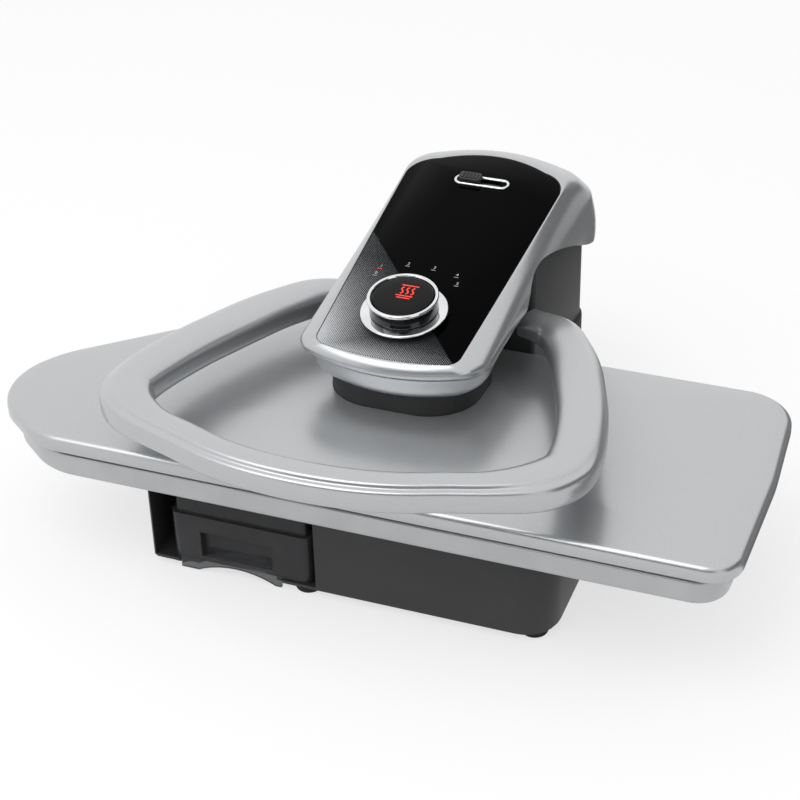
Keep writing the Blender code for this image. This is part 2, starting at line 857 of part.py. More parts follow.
def head_form(name, wall=0.0):
    """The head's outer skin, or the space inside its wall."""
    rings = []
    for shares, sink in zip(HEAD_RING_SHARES, INNER_SINK_SHARES):
        front, back, *halves = shares[:5]
        drops = [share * HEAD_DROP for share in shares[5:7]]
        radii = [share * HEAD_HALF_WIDTH - wall for share in shares[7:9]]
        outline = head_outline(
            HEAD_FRONT_Y + front * HEAD_LENGTH + wall,
            BACK_Y - back * HEAD_LENGTH - wall,
            [share * HEAD_HALF_WIDTH - wall for share in halves],
            radii,
            shares[9] * HEAD_HALF_WIDTH,
        )
        lower = sink * HEAD_TOP_WALL * wall / HEAD_WALL
        rings.append(sloped(outline, drops[0] + lower, drops[1] + lower))
    return loft(name, rings, strips=True)


def edge_points(shares):
    """Points of the head's lower edge, seen from the side."""
    return [
        (HEAD_FRONT_Y + along * HEAD_LENGTH, ARCH_BASE_Z + up * ARCH_RISE)
        for along, up in shares
    ]


def tower_outline(inset=0.0):
    """Plan outline of the tower, a little wider at the back."""
    front = HINGE_Y - TOWER_FRONT
    back = HINGE_Y + TOWER_BACK
    outline = rounded([
        (ARM_X - TOWER_FRONT_HALF, front, TOWER_FRONT_RADIUS),
        (ARM_X + TOWER_FRONT_HALF, front, TOWER_FRONT_RADIUS),
        (ARM_X + TOWER_BACK_HALF, back, TOWER_BACK_RADIUS),
        (ARM_X - TOWER_BACK_HALF, back, TOWER_BACK_RADIUS),
    ])
    return shift(outline, inset)


def tower_side(low, inset=0.0, sink=0.0):
    """Side view of the tower: its top clears the head, which swings round the hinge."""
    front = HINGE_Y - TOWER_FRONT + inset
    back = HINGE_Y + TOWER_BACK - inset
    nose = TOWER_NOSE_RADIUS - inset
    top = TOWER_TOP_RADIUS - inset
    centre_z = HINGE_Z - sink
    square = math.pi / 2 + SLOPE
    nose_start = math.acos((front - HINGE_Y) / nose)
    nose_end = square + math.acos(top / nose)
    top_end = math.acos((back - HINGE_Y) / top)
    profile = [(front, low)]
    for radius, start, end, steps in (
        (nose, nose_start, nose_end, TOWER_NOSE_STEPS),
        (top, square, top_end, TOWER_TOP_STEPS),
    ):
        for step in range(steps + 1):
            angle = start + (end - start) * step / steps
            spot = (HINGE_Y + radius * math.cos(angle), centre_z + radius * math.sin(angle))
            profile.append(spot)
    return profile + [(back, low)]


def tower_skin(name, low, inset=0.0):
    """The tower's side view across its width, sinking towards both shoulders."""
    rings = []
    for side_share, sink_share in TOWER_SHOULDER_SHARES:
        x = ARM_X + side_share * (TOWER_BACK_HALF + OVERRUN - inset)
        profile = tower_side(low, inset, sink_share * TOWER_SHOULDER)
        rings.append([(x, y, z) for y, z in profile])
    return loft(name, rings)


def hinge_rod(name, reach, radius, sides=ROUND_SIDES, finish=None):
    """Round bar on the hinge's axis, reaching as far to the left as to the right."""
    start = (ARM_X - reach, HINGE_Y, HINGE_Z)
    end = (ARM_X + reach, HINGE_Y, HINGE_Z)
    return rod(name, start, end, radius, sides, finish)


def screw(name, place, direction, finish=None):
    """Screw whose head's underside is at a place."""
    profile = [
        (0, -SCREW_HEAD),
        (SCREW_RADIUS, -SCREW_HEAD),
        (SCREW_RADIUS, 0),
        (SCREW_SHANK, 0),
        (SCREW_SHANK, SCREW_LENGTH),
        (0, SCREW_LENGTH),
    ]
    return turned(name, profile, frame_of(place, direction), SCREW_SIDES, finish)


def upright_cutters(name, places, radius, low, high, sides=SCREW_SIDES):
    """Upright round cutters at several places, as one tool."""
    rods = [
        rod(name + "_one", (x, y, low), (x, y, high), radius, sides)
        for x, y in places
    ]
    return join_meshes(name, rods)


def base_boss_places():
    """Where screws hold the base plate to the tub."""
    inset = BASE_WALL + BOSS_RADIUS / 2
    return [
        (BASE_RIGHT - inset, BASE_FRONT + BASE_FRONT_RADIUS * 2),
        (TAIL_LEFT + inset, BASE_BACK - BASE_BACK_RADIUS * 1.5),
    ]


def notch_cutter(name):
    """Cutter of the finger notch under the tank."""
    centre_y = BASE_FRONT + NOTCH_DEPTH - NOTCH_RADIUS
    low = PLATE_LOW - OVERRUN
    return rod(name, (NOTCH_X, centre_y, low), (NOTCH_X, centre_y, TANK_LOW), NOTCH_RADIUS, 48)


def apron_box(name, grow=0.0):
    """The tank's apron as a block, or the gap that the base leaves for it."""
    front = BASE_FRONT + TANK_FRONT_INSET - (OVERRUN if grow else 0)
    back = BASE_FRONT + TANK_FRONT_INSET + APRON_THICKNESS + grow
    low = APRON_LOW - (OVERRUN if grow else 0)
    return box(
        name,
        (APRON_LEFT - grow, front, low),
        (APRON_RIGHT + grow, back, TANK_LOW + (0 if grow else TANK_WALL / 2)),
    )


def make_base_shell():
    """Moulded tub with the open tank bay at the left of its front."""
    rings = [
        level(base_outline(), BASE_LOW),
        level(base_outline(), BASE_TOP - BASE_EDGE),
        level(base_outline(BASE_EDGE / 2), BASE_TOP),
    ]
    tub = loft("base_shell", rings, "grey_plastic")
    left = BASE_LEFT + BASE_WALL
    right = BASE_RIGHT - BASE_WALL
    back = BASE_BACK - BASE_WALL
    inner_left = BAY_RIGHT_X + BASE_WALL
    ceiling = BASE_TOP - BASE_WALL
    wing_back = WING_BACK - BASE_WALL
    room = rounded([
        (inner_left, BASE_FRONT + BASE_WALL, 0),
        (right, BASE_FRONT + BASE_WALL, BASE_FRONT_RADIUS - BASE_WALL),
        (right, wing_back, WING_RADIUS - BASE_WALL),
        (TAIL_RIGHT - BASE_WALL, wing_back, 0),
        (TAIL_RIGHT - BASE_WALL, back, BASE_BACK_RADIUS - BASE_WALL),
        (TAIL_LEFT + BASE_WALL, back, BASE_BACK_RADIUS - BASE_WALL),
        (TAIL_LEFT + BASE_WALL, wing_back, 0),
        (left, wing_back, WING_RADIUS - BASE_WALL),
        (left, BAY_BACK + BASE_WALL, 0),
        (inner_left, BAY_BACK + BASE_WALL, 0),
    ])
    cut(tub, prism("cut_base_room", room, BASE_LOW - OVERRUN, ceiling))
    bay_low = (left, BASE_FRONT - OVERRUN, BASE_LOW + BAY_FLOOR)
    cut(tub, box("cut_tank_bay", bay_low, (BAY_RIGHT_X, BAY_BACK, ceiling)))
    bosses = upright_cutters(
        "base_bosses", base_boss_places(), BOSS_RADIUS, BASE_LOW, BASE_LOW + BOSS_HEIGHT, 12
    )
    combine(tub, bosses, "UNION")
    half = BRACKET_X + BRACKET_THICKNESS + BRACKET_PORT
    run = BRACKET_DEPTH / 2 + BRACKET_PORT
    cut(tub, box(
        "cut_base_port",
        (ARM_X - half, HINGE_Y - run, ceiling - OVERRUN),
        (ARM_X + half, HINGE_Y + run, BASE_TOP + OVERRUN),
    ))
    cut(tub, notch_cutter("cut_base_notch"), apron_box("cut_base_apron", RUNNING_GAP * 2))
    cut(tub, upright_cutters(
        "cut_boss_bores", base_boss_places(), SCREW_SHANK + GAP,
        BASE_LOW - OVERRUN, BASE_LOW + BOSS_HEIGHT - BASE_WALL,
    ))
    spigot_x = tank_centre()
    wall_front = (spigot_x, BAY_BACK - OVERRUN / 2, SPIGOT_Z)
    wall_back = (spigot_x, BAY_BACK + BASE_WALL + OVERRUN / 2, SPIGOT_Z)
    cut(tub, rod("cut_spigot_port", wall_front, wall_back, SPIGOT_RADIUS + RUNNING_GAP * 2, 16))
    inlet_front = (INLET_X, BASE_BACK - BASE_WALL - OVERRUN / 2, INLET_Z)
    inlet_back = (INLET_X, BASE_BACK + OVERRUN, INLET_Z)
    cut(tub, rod("cut_inlet_port", inlet_front, inlet_back, INLET_RADIUS + GAP * 2, 16))
    return tub


def make_base_plate():
    """Closing plate under the tub."""
    plate = prism("base_plate", base_outline(PLATE_LIP), PLATE_LOW, PLATE_TOP, "dark_plastic")
    cut(plate, notch_cutter("cut_plate_notch"), apron_box("cut_plate_apron", RUNNING_GAP * 2))
    cut(plate, upright_cutters(
        "cut_plate_holes", base_boss_places(), SCREW_SHANK + GAP,
        PLATE_LOW - OVERRUN, PLATE_TOP + OVERRUN,
    ))
    return plate


def make_feet():
    """Rubber feet under the base plate."""
    side = FOOT_RADIUS * 1.6
    places = {
        "foot_front_left": (BASE_LEFT + side, BASE_FRONT + side),
        "foot_front_middle": (BAY_RIGHT_X - FOOT_RADIUS, BASE_FRONT + FOOT_RADIUS * 1.15),
        "foot_front_right": (BASE_RIGHT - side, BASE_FRONT + side),
        "foot_rear_left": (TAIL_LEFT + BASE_BACK_RADIUS, BASE_BACK - BASE_BACK_RADIUS),
        "foot_rear_right": (TAIL_RIGHT - BASE_BACK_RADIUS, BASE_BACK - BASE_BACK_RADIUS),
    }
    profile = [
        (0, 0),
        (FOOT_RADIUS * 0.9, 0),
        (FOOT_RADIUS, FOOT_HEIGHT / 2),
        (FOOT_RADIUS, FOOT_HEIGHT),
        (0, FOOT_HEIGHT),
    ]
    for name, (x, y) in places.items():
        turned(name, profile, Matrix.Translation((x, y, 0)), ROUND_SIDES, "rubber")


def make_base_screws():
    """Screws that hold the base plate to the tub's bosses."""
    for name, (x, y) in zip(("base_screw_front", "base_screw_back"), base_boss_places()):
        screw(name, (x, y, PLATE_LOW - GAP), (0, 0, 1), "steel")


def make_board_pan():
    """Metal dish that holds the foam of the lower board."""
    ends = PAN_END_INSET
    sides = PAN_SIDE_INSET
    rings = [
        level(board_outline(ends + PAN_CORNER, sides + PAN_CORNER), PAN_LOW),
        level(board_outline(ends, sides), PAN_LOW + PAN_CORNER),
        level(board_outline(ends, sides), PAN_TOP),
        level(board_outline(ends + PAN_THICKNESS, sides + PAN_THICKNESS), PAN_TOP),
        level(board_outline(ends + PAN_THICKNESS, sides + PAN_THICKNESS), PAN_LOW + PAN_THICKNESS),
    ]
    return loft("board_pan", rings, "aluminium")


def pan_inside(inset=0.0):
    """Outline of what lies in the pan."""
    edge = PAN_THICKNESS + GAP + inset
    return board_outline(PAN_END_INSET + edge, PAN_SIDE_INSET + edge)


def make_foam_pad():
    """Foam slab in the pan."""
    return prism("foam_pad", pan_inside(), FOAM_LOW, FOAM_LOW + FOAM_HEIGHT, "foam")


def make_pad_cover():
    """Silver covered pad with drawn-in sides and a low crown."""
    outline = pan_inside()
    centre = (0, BOARD_Y)
    edge = PAD_LOW + PAD_EDGE
    rings = [
        level(pan_inside(PAD_DRAW), PAD_LOW),
        level(pan_inside(PAD_DRAW * 2), PAD_LOW + PAD_EDGE / 2),
        level(outline, edge),
    ]
    for share, rise in PAD_CROWN_SHARES:
        rings.append(level(scaled(outline, share, centre), edge + (PAD_HEIGHT - PAD_EDGE) * rise))
    return loft("pad_cover", rings, "silver_cloth")


def make_column_shell():
    """Hollow tower behind the board, slotted for the arm."""
    tower = prism("column_shell", tower_outline(), TOWER_LOW, HEAD_CEILING, "dark_plastic")
    combine(tower, tower_skin("cut_tower_skin", TOWER_LOW), "INTERSECT")
    low = TOWER_LOW - OVERRUN
    inner = prism("cut_tower_room", tower_outline(TOWER_WALL), low, HEAD_CEILING)
    combine(inner, tower_skin("cut_tower_inside", low, TOWER_WALL), "INTERSECT")
    cut(tower, inner)
    cut(tower, box(
        "cut_tower_slot",
        (ARM_X - SLOT_HALF, HINGE_Y - TOWER_FRONT - OVERRUN, HINGE_Z - SLOT_BELOW),
        (ARM_X + SLOT_HALF, HINGE_Y + SLOT_BACK, HEAD_CEILING),
    ))
    return tower


def bracket_side():
    """Side view of the hinge bracket, round about the shaft."""
    half = BRACKET_DEPTH / 2
    profile = [(HINGE_Y - half, PLATE_TOP + GAP)]
    for step in range(BRACKET_STEPS + 1):
        angle = math.pi * (1 - step / BRACKET_STEPS)
        spot = (
            HINGE_Y + BRACKET_HEAD * math.cos(angle),
            HINGE_Z + BRACKET_HEAD * math.sin(angle),
        )
        profile.append(spot)
    return profile + [(HINGE_Y + half, PLATE_TOP + GAP)]


def make_hinge_bracket():
    """Steel U that carries the arm's shaft, standing on the base plate."""
    outer = BRACKET_X + BRACKET_THICKNESS
    low = PLATE_TOP + GAP
    bracket = side_prism("hinge_bracket", bracket_side(), ARM_X - outer, ARM_X + outer, "steel")
    run = BRACKET_DEPTH / 2 + OVERRUN
    cut(bracket, box(
        "cut_bracket_gap",
        (ARM_X - BRACKET_X, HINGE_Y - run, low + BRACKET_THICKNESS),
        (ARM_X + BRACKET_X, HINGE_Y + run, HINGE_Z + BRACKET_HEAD + OVERRUN),
    ))
    cut(bracket, hinge_rod("cut_bracket_bore", outer + OVERRUN, BUSH_RADIUS + GAP))
    return bracket


def make_hinge_bushes():
    """Bushes of the shaft in the bracket's plates."""
    for side, name in ((-1, "hinge_bush_left"), (1, "hinge_bush_right")):
        start = (ARM_X + side * (BRACKET_X - GAP), HINGE_Y, HINGE_Z)
        end = (ARM_X + side * (BRACKET_X + BRACKET_THICKNESS + GAP), HINGE_Y, HINGE_Z)
        pipe(name, start, end, SHAFT_RADIUS + RUNNING_GAP, BUSH_RADIUS, ROUND_SIDES, "brass")


def make_lift_springs():
    """Torsion springs round the shaft's ends, with one leg along the bracket."""
    radius = SPRING_BORE + SPRING_WIRE / 2
    start_x = BRACKET_X + BRACKET_THICKNESS + SPRING_WIRE / 2 + GAP * 2
    count = SPRING_TURNS * SPRING_POINTS
    for side, name in ((-1, "lift_spring_left"), (1, "lift_spring_right")):
        points = [(ARM_X + side * start_x, HINGE_Y + radius, HINGE_Z - SPRING_LEG)]
        for index in range(count + 1):
            angle = math.tau * index / SPRING_POINTS
            along = start_x + SPRING_PITCH * index / SPRING_POINTS
            spot = (
                ARM_X + side * along,
                HINGE_Y + radius * math.cos(angle),
                HINGE_Z + radius * math.sin(angle),
            )
            points.append(spot)
        hose(name, points, SPRING_WIRE / 2, "steel", steps=1)


def make_steam_swivel():
    """Rotary joint that brings water to the hollow shaft."""
    inner = ARM_X - FRAME_HALF - SWIVEL_GAP
    start = (inner - SWIVEL_WIDTH, HINGE_Y, HINGE_Z)
    end = (inner, HINGE_Y, HINGE_Z)
    bore = SHAFT_RADIUS + RUNNING_GAP
    return pipe("steam_swivel", start, end, bore, SWIVEL_RADIUS, ROUND_SIDES, "brass")


def make_lock_keeper():
    """Bracket under the tower's top whose hole takes the carrying lock's bolt."""
    foot = HINGE_Y - hinge_drop() * math.sin(SLOPE)
    reach = (PANEL_FRONT_Y + LOCK_BACK - foot) / math.cos(SLOPE) + KEEPER_WIDTH / 2
    inside = TOWER_TOP_RADIUS - TOWER_WALL
    ceiling = math.sqrt(inside**2 - reach**2) - KEEPER_CLEARANCE - hinge_drop()
    bottom = -BOLT_DROP - KEEPER_HEIGHT / 2
    end = SLOT_HALF + KEEPER_REACH
    profile = [
        (KEEPER_X, bottom),
        (KEEPER_X + KEEPER_THICKNESS, bottom),
        (KEEPER_X + KEEPER_THICKNESS, ceiling - KEEPER_THICKNESS),
        (end, ceiling - KEEPER_THICKNESS),
        (end, ceiling),
        (KEEPER_X, ceiling),
    ]
    rings = [[(x, y, z) for x, z in profile] for y in (-KEEPER_WIDTH / 2, KEEPER_WIDTH / 2)]
    keeper = loft("lock_keeper", rings, "steel")
    keeper.data.transform(panel_frame(LOCK_BACK))
    start = panel_frame(LOCK_BACK) @ Vector((KEEPER_X - OVERRUN / 2, 0, -BOLT_DROP))
    end = start + Vector((KEEPER_THICKNESS + OVERRUN, 0, 0))
    cut(keeper, rod("cut_keeper_hole", start, end, KEEPER_HOLE, 16))
    return keeper


def hinge_drop():
    """Height of the panel's plane above the hinge's axis, square to the panel."""
    return (panel_z(HINGE_Y) - HINGE_Z) * math.cos(SLOPE)


def make_pump():
    """Water pump with a nozzle at each end, and its rubber cradle."""
    profile = [
        (0, -PUMP_NOZZLE_LENGTH),
        (PUMP_NOZZLE, -PUMP_NOZZLE_LENGTH),
        (PUMP_NOZZLE, 0),
        (PUMP_NECK, 0),
        (PUMP_RADIUS, PUMP_SHOULDER),
        (PUMP_RADIUS, PUMP_LENGTH - PUMP_SHOULDER),
        (PUMP_NECK, PUMP_LENGTH),
        (PUMP_NOZZLE, PUMP_LENGTH),
        (PUMP_NOZZLE, PUMP_LENGTH + PUMP_NOZZLE_LENGTH),
        (0, PUMP_LENGTH + PUMP_NOZZLE_LENGTH),
    ]
    left = PUMP_X - PUMP_LENGTH / 2
    matrix = frame_of((left, PUMP_Y, PUMP_Z), (1, 0, 0))
    turned("pump_body", profile, matrix, 20, "steel")
    run = PUMP_LENGTH / 4
    low = PLATE_TOP + GAP
    cradle = box(
        "pump_mount",
        (PUMP_X - run, PUMP_Y - MOUNT_WIDTH / 2, low),
        (PUMP_X + run, PUMP_Y + MOUNT_WIDTH / 2, MOUNT_TOP),
        "rubber",
    )
    start = (left, PUMP_Y, PUMP_Z)
    end = (left + PUMP_LENGTH, PUMP_Y, PUMP_Z)
    cut(cradle, rod("cut_pump_cradle", start, end, PUMP_RADIUS + GAP * 2, 20))
    gap = run - MOUNT_THICKNESS
    cut(cradle, box(
        "cut_pump_mount_gap",
        (PUMP_X - gap, PUMP_Y - MOUNT_WIDTH, low + MOUNT_THICKNESS),
        (PUMP_X + gap, PUMP_Y + MOUNT_WIDTH, MOUNT_TOP + OVERRUN),
    ))


def make_water_lines():
    """Hoses from the tank's dock to the pump, and from the pump up to the swivel."""
    away = HOSE_RADIUS * 5
    dock = (tank_centre(), BAY_BACK + BASE_WALL + GAP + DOCK_LENGTH + HOSE_END_GAP, SPIGOT_Z)
    inlet_x = PUMP_X - PUMP_LENGTH / 2 - PUMP_NOZZLE_LENGTH - HOSE_END_GAP
    hose("suction_hose", [
        dock,
        (dock[0], dock[1] + away / 3, SPIGOT_Z),
        (dock[0], dock[1] + away, SPIGOT_Z),
        (dock[0] + away * 3, dock[1] + away * 2.5, SPIGOT_Z),
        (inlet_x - away * 3, PUMP_Y + away, PUMP_Z),
        (inlet_x - away, PUMP_Y, PUMP_Z),
        (inlet_x - away / 3, PUMP_Y, PUMP_Z),
        (inlet_x, PUMP_Y, PUMP_Z),
    ], HOSE_RADIUS, "rubber")
    outlet_x = PUMP_X + PUMP_LENGTH / 2 + PUMP_NOZZLE_LENGTH + HOSE_END_GAP
    swivel_x = ARM_X - FRAME_HALF - SWIVEL_GAP - SWIVEL_WIDTH / 2
    top = HINGE_Z - SWIVEL_RADIUS - HOSE_END_GAP
    hose("riser_hose", [
        (outlet_x, PUMP_Y, PUMP_Z),
        (outlet_x + away / 3, PUMP_Y, PUMP_Z),
        (outlet_x + away, PUMP_Y, PUMP_Z),
        (outlet_x + away * 1.5, PUMP_Y + away * 2, PUMP_Z),
        (PUMP_X - away, (PUMP_Y + HINGE_Y) / 2, PUMP_Z),
        (swivel_x + away * 3, HINGE_Y - away * 2.6, PUMP_Z),
        (swivel_x + away / 2, HINGE_Y - away / 2, PUMP_Z + away),
        (swivel_x, HINGE_Y, top - away * 2),
        (swivel_x, HINGE_Y, top - away),
        (swivel_x, HINGE_Y, top),
    ], HOSE_RADIUS, "rubber")


def tank_centre():
    """Middle of the tank from left to right."""
    left = BASE_LEFT + BASE_WALL + TANK_SIDE_GAP
    right = BAY_RIGHT_X - TANK_RIGHT_GAP
    return (left + right) / 2


def make_tank_dock():
    """Socket behind the bay that the tank's spigot plugs into."""
    profile = [
        (0, DOCK_SOCKET),
        (SPIGOT_RADIUS + RUNNING_GAP * 2, DOCK_SOCKET),
        (SPIGOT_RADIUS + RUNNING_GAP * 2, 0),
        (DOCK_RADIUS, 0),
        (DOCK_RADIUS, DOCK_SOCKET + BASE_WALL),
        (DOCK_NOZZLE, DOCK_SOCKET + BASE_WALL),
        (DOCK_NOZZLE, DOCK_LENGTH),
        (0, DOCK_LENGTH),
    ]
    place = (tank_centre(), BAY_BACK + BASE_WALL + GAP, SPIGOT_Z)
    return turned("tank_dock", profile, frame_of(place, (0, 1, 0)), 16, "dark_plastic")


def make_power_board():
    """Supply electronics on standoffs over the base plate."""
    low = PLATE_TOP + GAP
    board_low = low + SUPPLY_STANDOFF
    board_top = board_low + BOARD_THICKNESS
    middle = (board_low + board_top) / 2
    half_x = SUPPLY_LENGTH / 2
    half_y = SUPPLY_DEPTH / 2
    inset = STANDOFF_RADIUS * 1.5
    board = box(
        "power_board",
        (SUPPLY_X - half_x, SUPPLY_Y - half_y, board_low),
        (SUPPLY_X + half_x, SUPPLY_Y + half_y, board_top),
        "circuit_board",
    )
    places = [
        (SUPPLY_X + side_x * (half_x - inset), SUPPLY_Y + side_y * (half_y - inset))
        for side_x in (-1, 1)
        for side_y in (-1, 1)
    ]
    standoffs = upright_cutters("supply_standoffs", places, STANDOFF_RADIUS, low, middle)
    combine(board, standoffs, "UNION")
    blocks = []
    for share_x, share_y, size_x, size_y, rise in SUPPLY_BLOCK_SHARES:
        x = SUPPLY_X + share_x * half_x
        y = SUPPLY_Y + share_y * half_y
        blocks.append(box(
            "supply_block",
            (x - size_x * half_x, y - size_y * half_y, middle),
            (x + size_x * half_x, y + size_y * half_y, board_top + rise * half_y),
        ))
    combine(board, join_meshes("supply_blocks", blocks), "UNION")
    return board


def make_cord_inlet():
    """Gland in the back wall for the mains lead."""
    start = BASE_BACK + GAP
    profile = [
        (INLET_BORE, -INLET_LENGTH / 2),
        (INLET_RADIUS, -INLET_LENGTH / 2),
        (INLET_RADIUS, 0),
        (INLET_FLANGE, 0),
        (INLET_FLANGE, INLET_FLANGE_THICKNESS),
        (INLET_RADIUS, INLET_LENGTH / 2),
        (INLET_BORE, INLET_LENGTH / 2),
    ]
    matrix = frame_of((INLET_X, start, INLET_Z), (0, 1, 0))
    return turned("cord_inlet", profile, matrix, 16, "rubber", joined=True)


def make_hinge_shaft():
    """Shaft that turns in the bracket's bushes."""
    return hinge_rod("hinge_shaft", SHAFT_HALF, SHAFT_RADIUS, finish="steel")


def frame_side():
    """Side view of the arm's frame, from its nose to the boss on the shaft."""
    nose = HINGE_Y - FRAME_NOSE
    profile = [(nose, FRAME_LOW), (HINGE_Y - FRAME_BOSS * 3, FRAME_LOW)]
    for step in range(FRAME_STEPS + 1):
        angle = math.radians(FRAME_TURN_START + FRAME_TURN * step / FRAME_STEPS)
        spot = (
            HINGE_Y + FRAME_BOSS * math.cos(angle),
            HINGE_Z + FRAME_BOSS * math.sin(angle),
        )
        profile.append(spot)
    return profile + [(HINGE_Y - FRAME_BOSS * 2, FRAME_HIGH), (nose, FRAME_HIGH)]


def frame_screw_places():
    """Where the head's bosses are screwed to the frame's web."""
    nose = HINGE_Y - FRAME_NOSE
    return [
        (ARM_X, nose + BOSS_RADIUS * 3),
        (ARM_X, nose + FRAME_WEB - BOSS_RADIUS * 3),
    ]


def post_screw_places():
    """Where the post is screwed to the frame's web."""
    reach = POST_RADIUS * 0.6
    return [(ARM_X - reach, NECK_Y), (ARM_X + reach, NECK_Y)]


def make_arm_frame():
    """Steel channel from the shaft forward to the shoe's post."""
    frame = side_prism(
        "arm_frame", frame_side(), ARM_X - FRAME_HALF, ARM_X + FRAME_HALF, "steel"
    )
    inner = FRAME_HALF - FRAME_SHEET
    nose = HINGE_Y - FRAME_NOSE
    cut(frame, box(
        "cut_frame_channel",
        (ARM_X - inner, nose - OVERRUN, HINGE_Z - FRAME_BOSS - OVERRUN),
        (ARM_X + inner, nose + FRAME_WEB, FRAME_HIGH - FRAME_SHEET),
    ))
    cut(frame, box(
        "cut_frame_open_top",
        (ARM_X - inner, nose + FRAME_WEB - GAP, HINGE_Z - FRAME_BOSS - OVERRUN),
        (ARM_X + inner, HINGE_Y + FRAME_BOSS + OVERRUN, FRAME_HIGH + OVERRUN),
    ))
    cut(frame, hinge_rod("cut_frame_bore", FRAME_HALF + OVERRUN, SHAFT_RADIUS + GAP))
    reach = FRAME_HALF + OVERRUN
    cut(frame, rod(
        "cut_frame_crossbar",
        (ARM_X - reach, CROSSBAR_Y, CROSSBAR_Z),
        (ARM_X + reach, CROSSBAR_Y, CROSSBAR_Z),
        CROSSBAR_RADIUS + GAP,
        16,
    ))
    holes = frame_screw_places() + post_screw_places()
    cut(frame, upright_cutters(
        "cut_frame_holes", holes, SCREW_SHANK + GAP, FRAME_HIGH - OVERRUN, FRAME_HIGH + OVERRUN
    ))
    return frame


def make_handle_crossbar():
    """Bar through the frame that carries both ends of the loop handle."""
    reach = HANDLE_INNER + CROSSBAR_SOCKET
    start = (ARM_X - reach, CROSSBAR_Y, CROSSBAR_Z)
    end = (ARM_X + reach, CROSSBAR_Y, CROSSBAR_Z)
    return rod("handle_crossbar", start, end, CROSSBAR_RADIUS, 16, "steel")


def make_head_upper_shell():
    """Silver cover of the head, arched at the back where it passes over the tower."""
    shell = head_form("head_upper_shell")
    paint(shell, "silver_paint")
    lower_edge = edge_points(EDGE_SHARES + ARCH_SHARES)
    high = HEAD_CEILING + OVERRUN
    region = lower_edge + [(lower_edge[-1][0], high), (lower_edge[0][0], high)]
    reach = HEAD_HALF_WIDTH + OVERRUN
    above = side_prism("cut_head_above", region, ARM_X - reach, ARM_X + reach)
    combine(shell, above, "INTERSECT")
    cut(shell, head_form("cut_head_room", HEAD_WALL))
    outline = panel_outline(PANEL_GAP)
    recess = loft("cut_panel_recess", [
        sloped(outline, PANEL_RECESS, PANEL_RECESS),
        sloped(outline, -OVERRUN, -OVERRUN),
    ])
    cut(shell, recess)
    combine(shell, head_bosses(), "UNION")
    cut(shell, upright_cutters(
        "cut_head_bores", frame_screw_places(), SCREW_SHANK + GAP,
        FRAME_HIGH, FRAME_HIGH + SCREW_LENGTH + GAP,
    ))
    return shell


def head_bosses():
    """Bosses under the head's top that stand on the arm's frame."""
    rods = []
    for x, y in frame_screw_places():
        top = panel_z(y) - (PANEL_RECESS + HEAD_TOP_WALL) / 2
        start = (x, y, FRAME_HIGH + GAP)
        rods.append(rod("head_boss", start, (x, y, top), BOSS_RADIUS, 12))
    return join_meshes("head_bosses", rods)


def make_head_lower_shell():
    """Belly of the head, in front of the tower, with the hole for the neck."""
    shell = head_form("head_lower_shell")
    paint(shell, "silver_paint")
    edge = [(y, z - GAP) for y, z in edge_points(EDGE_SHARES)]
    low = NECK_LOW
    end_y = edge[-1][0]
    reach = HEAD_HALF_WIDTH + OVERRUN
    region = edge + [(end_y, low), (edge[0][0], low)]
    below = side_prism("cut_head_below", region, ARM_X - reach, ARM_X + reach)
    combine(shell, below, "INTERSECT")
    room = head_form("cut_belly_room", HEAD_WALL)
    limit = box(
        "cut_belly_end",
        (ARM_X - reach, HEAD_FRONT_Y - OVERRUN, low - OVERRUN),
        (ARM_X + reach, end_y - HEAD_WALL, HEAD_CEILING),
    )
    combine(room, limit, "INTERSECT")
    cut(shell, room)
    cut(shell, prism("cut_belly_neck", neck_outline(-GAP), low - OVERRUN, NECK_TOP + GAP))
    half = FRAME_HALF + RUNNING_GAP
    cut(shell, box(
        "cut_belly_slot",
        (ARM_X - half, HINGE_Y - FRAME_NOSE - RUNNING_GAP, FRAME_LOW - OVERRUN),
        (ARM_X + half, end_y + OVERRUN, FRAME_HIGH + OVERRUN),
    ))
    return shell


def make_front_panel():
    """Black panel let into the top of the head."""
    outline = panel_outline()
    rings = [sloped(outline, PANEL_RECESS - GAP, PANEL_RECESS - GAP), sloped(outline, 0, 0)]
    return loft("front_panel", rings, "black_gloss")


def panel_cuts(panel, shell):
    """Holes through the panel and the shell under it for the dial and the lock."""
    depth = HEAD_TOP_WALL + OVERRUN
    dial = turned(
        "cut_dial_hole",
        [(0, -depth), (DIAL_HOLE_RADIUS, -depth), (DIAL_HOLE_RADIUS, OVERRUN), (0, OVERRUN)],
        panel_frame(DIAL_BACK),
        16,
    )
    length = LOCK_TRAVEL + STEM_SIZE + 2 * RUNNING_GAP + LOCK_SLOT_WIDTH / 2
    slot = tilted_prism(
        "cut_lock_slot", stadium(length, LOCK_SLOT_WIDTH), -depth, OVERRUN, panel_frame(LOCK_BACK)
    )
    for target in (panel, shell):
        cut(target, dial, slot)


def dial_ring(name, profile, finish, sides=DIAL_SIDES):
    """Ring about the dial's axis."""
    return turned(name, profile, panel_frame(DIAL_BACK), sides, finish, joined=True)


def make_dial_collar():
    """Dark ring under the dial."""
    top = GAP + COLLAR_HEIGHT
    return dial_ring("dial_collar", [
        (DIAL_HOLE_RADIUS, GAP),
        (COLLAR_RADIUS, GAP),
        (COLLAR_RADIUS, top),
        (DIAL_HOLE_RADIUS, top),
    ], "dark_plastic")


def bezel_top():
    """Height of the dial's bezel over the panel."""
    return GAP * 2 + COLLAR_HEIGHT + BEZEL_HEIGHT


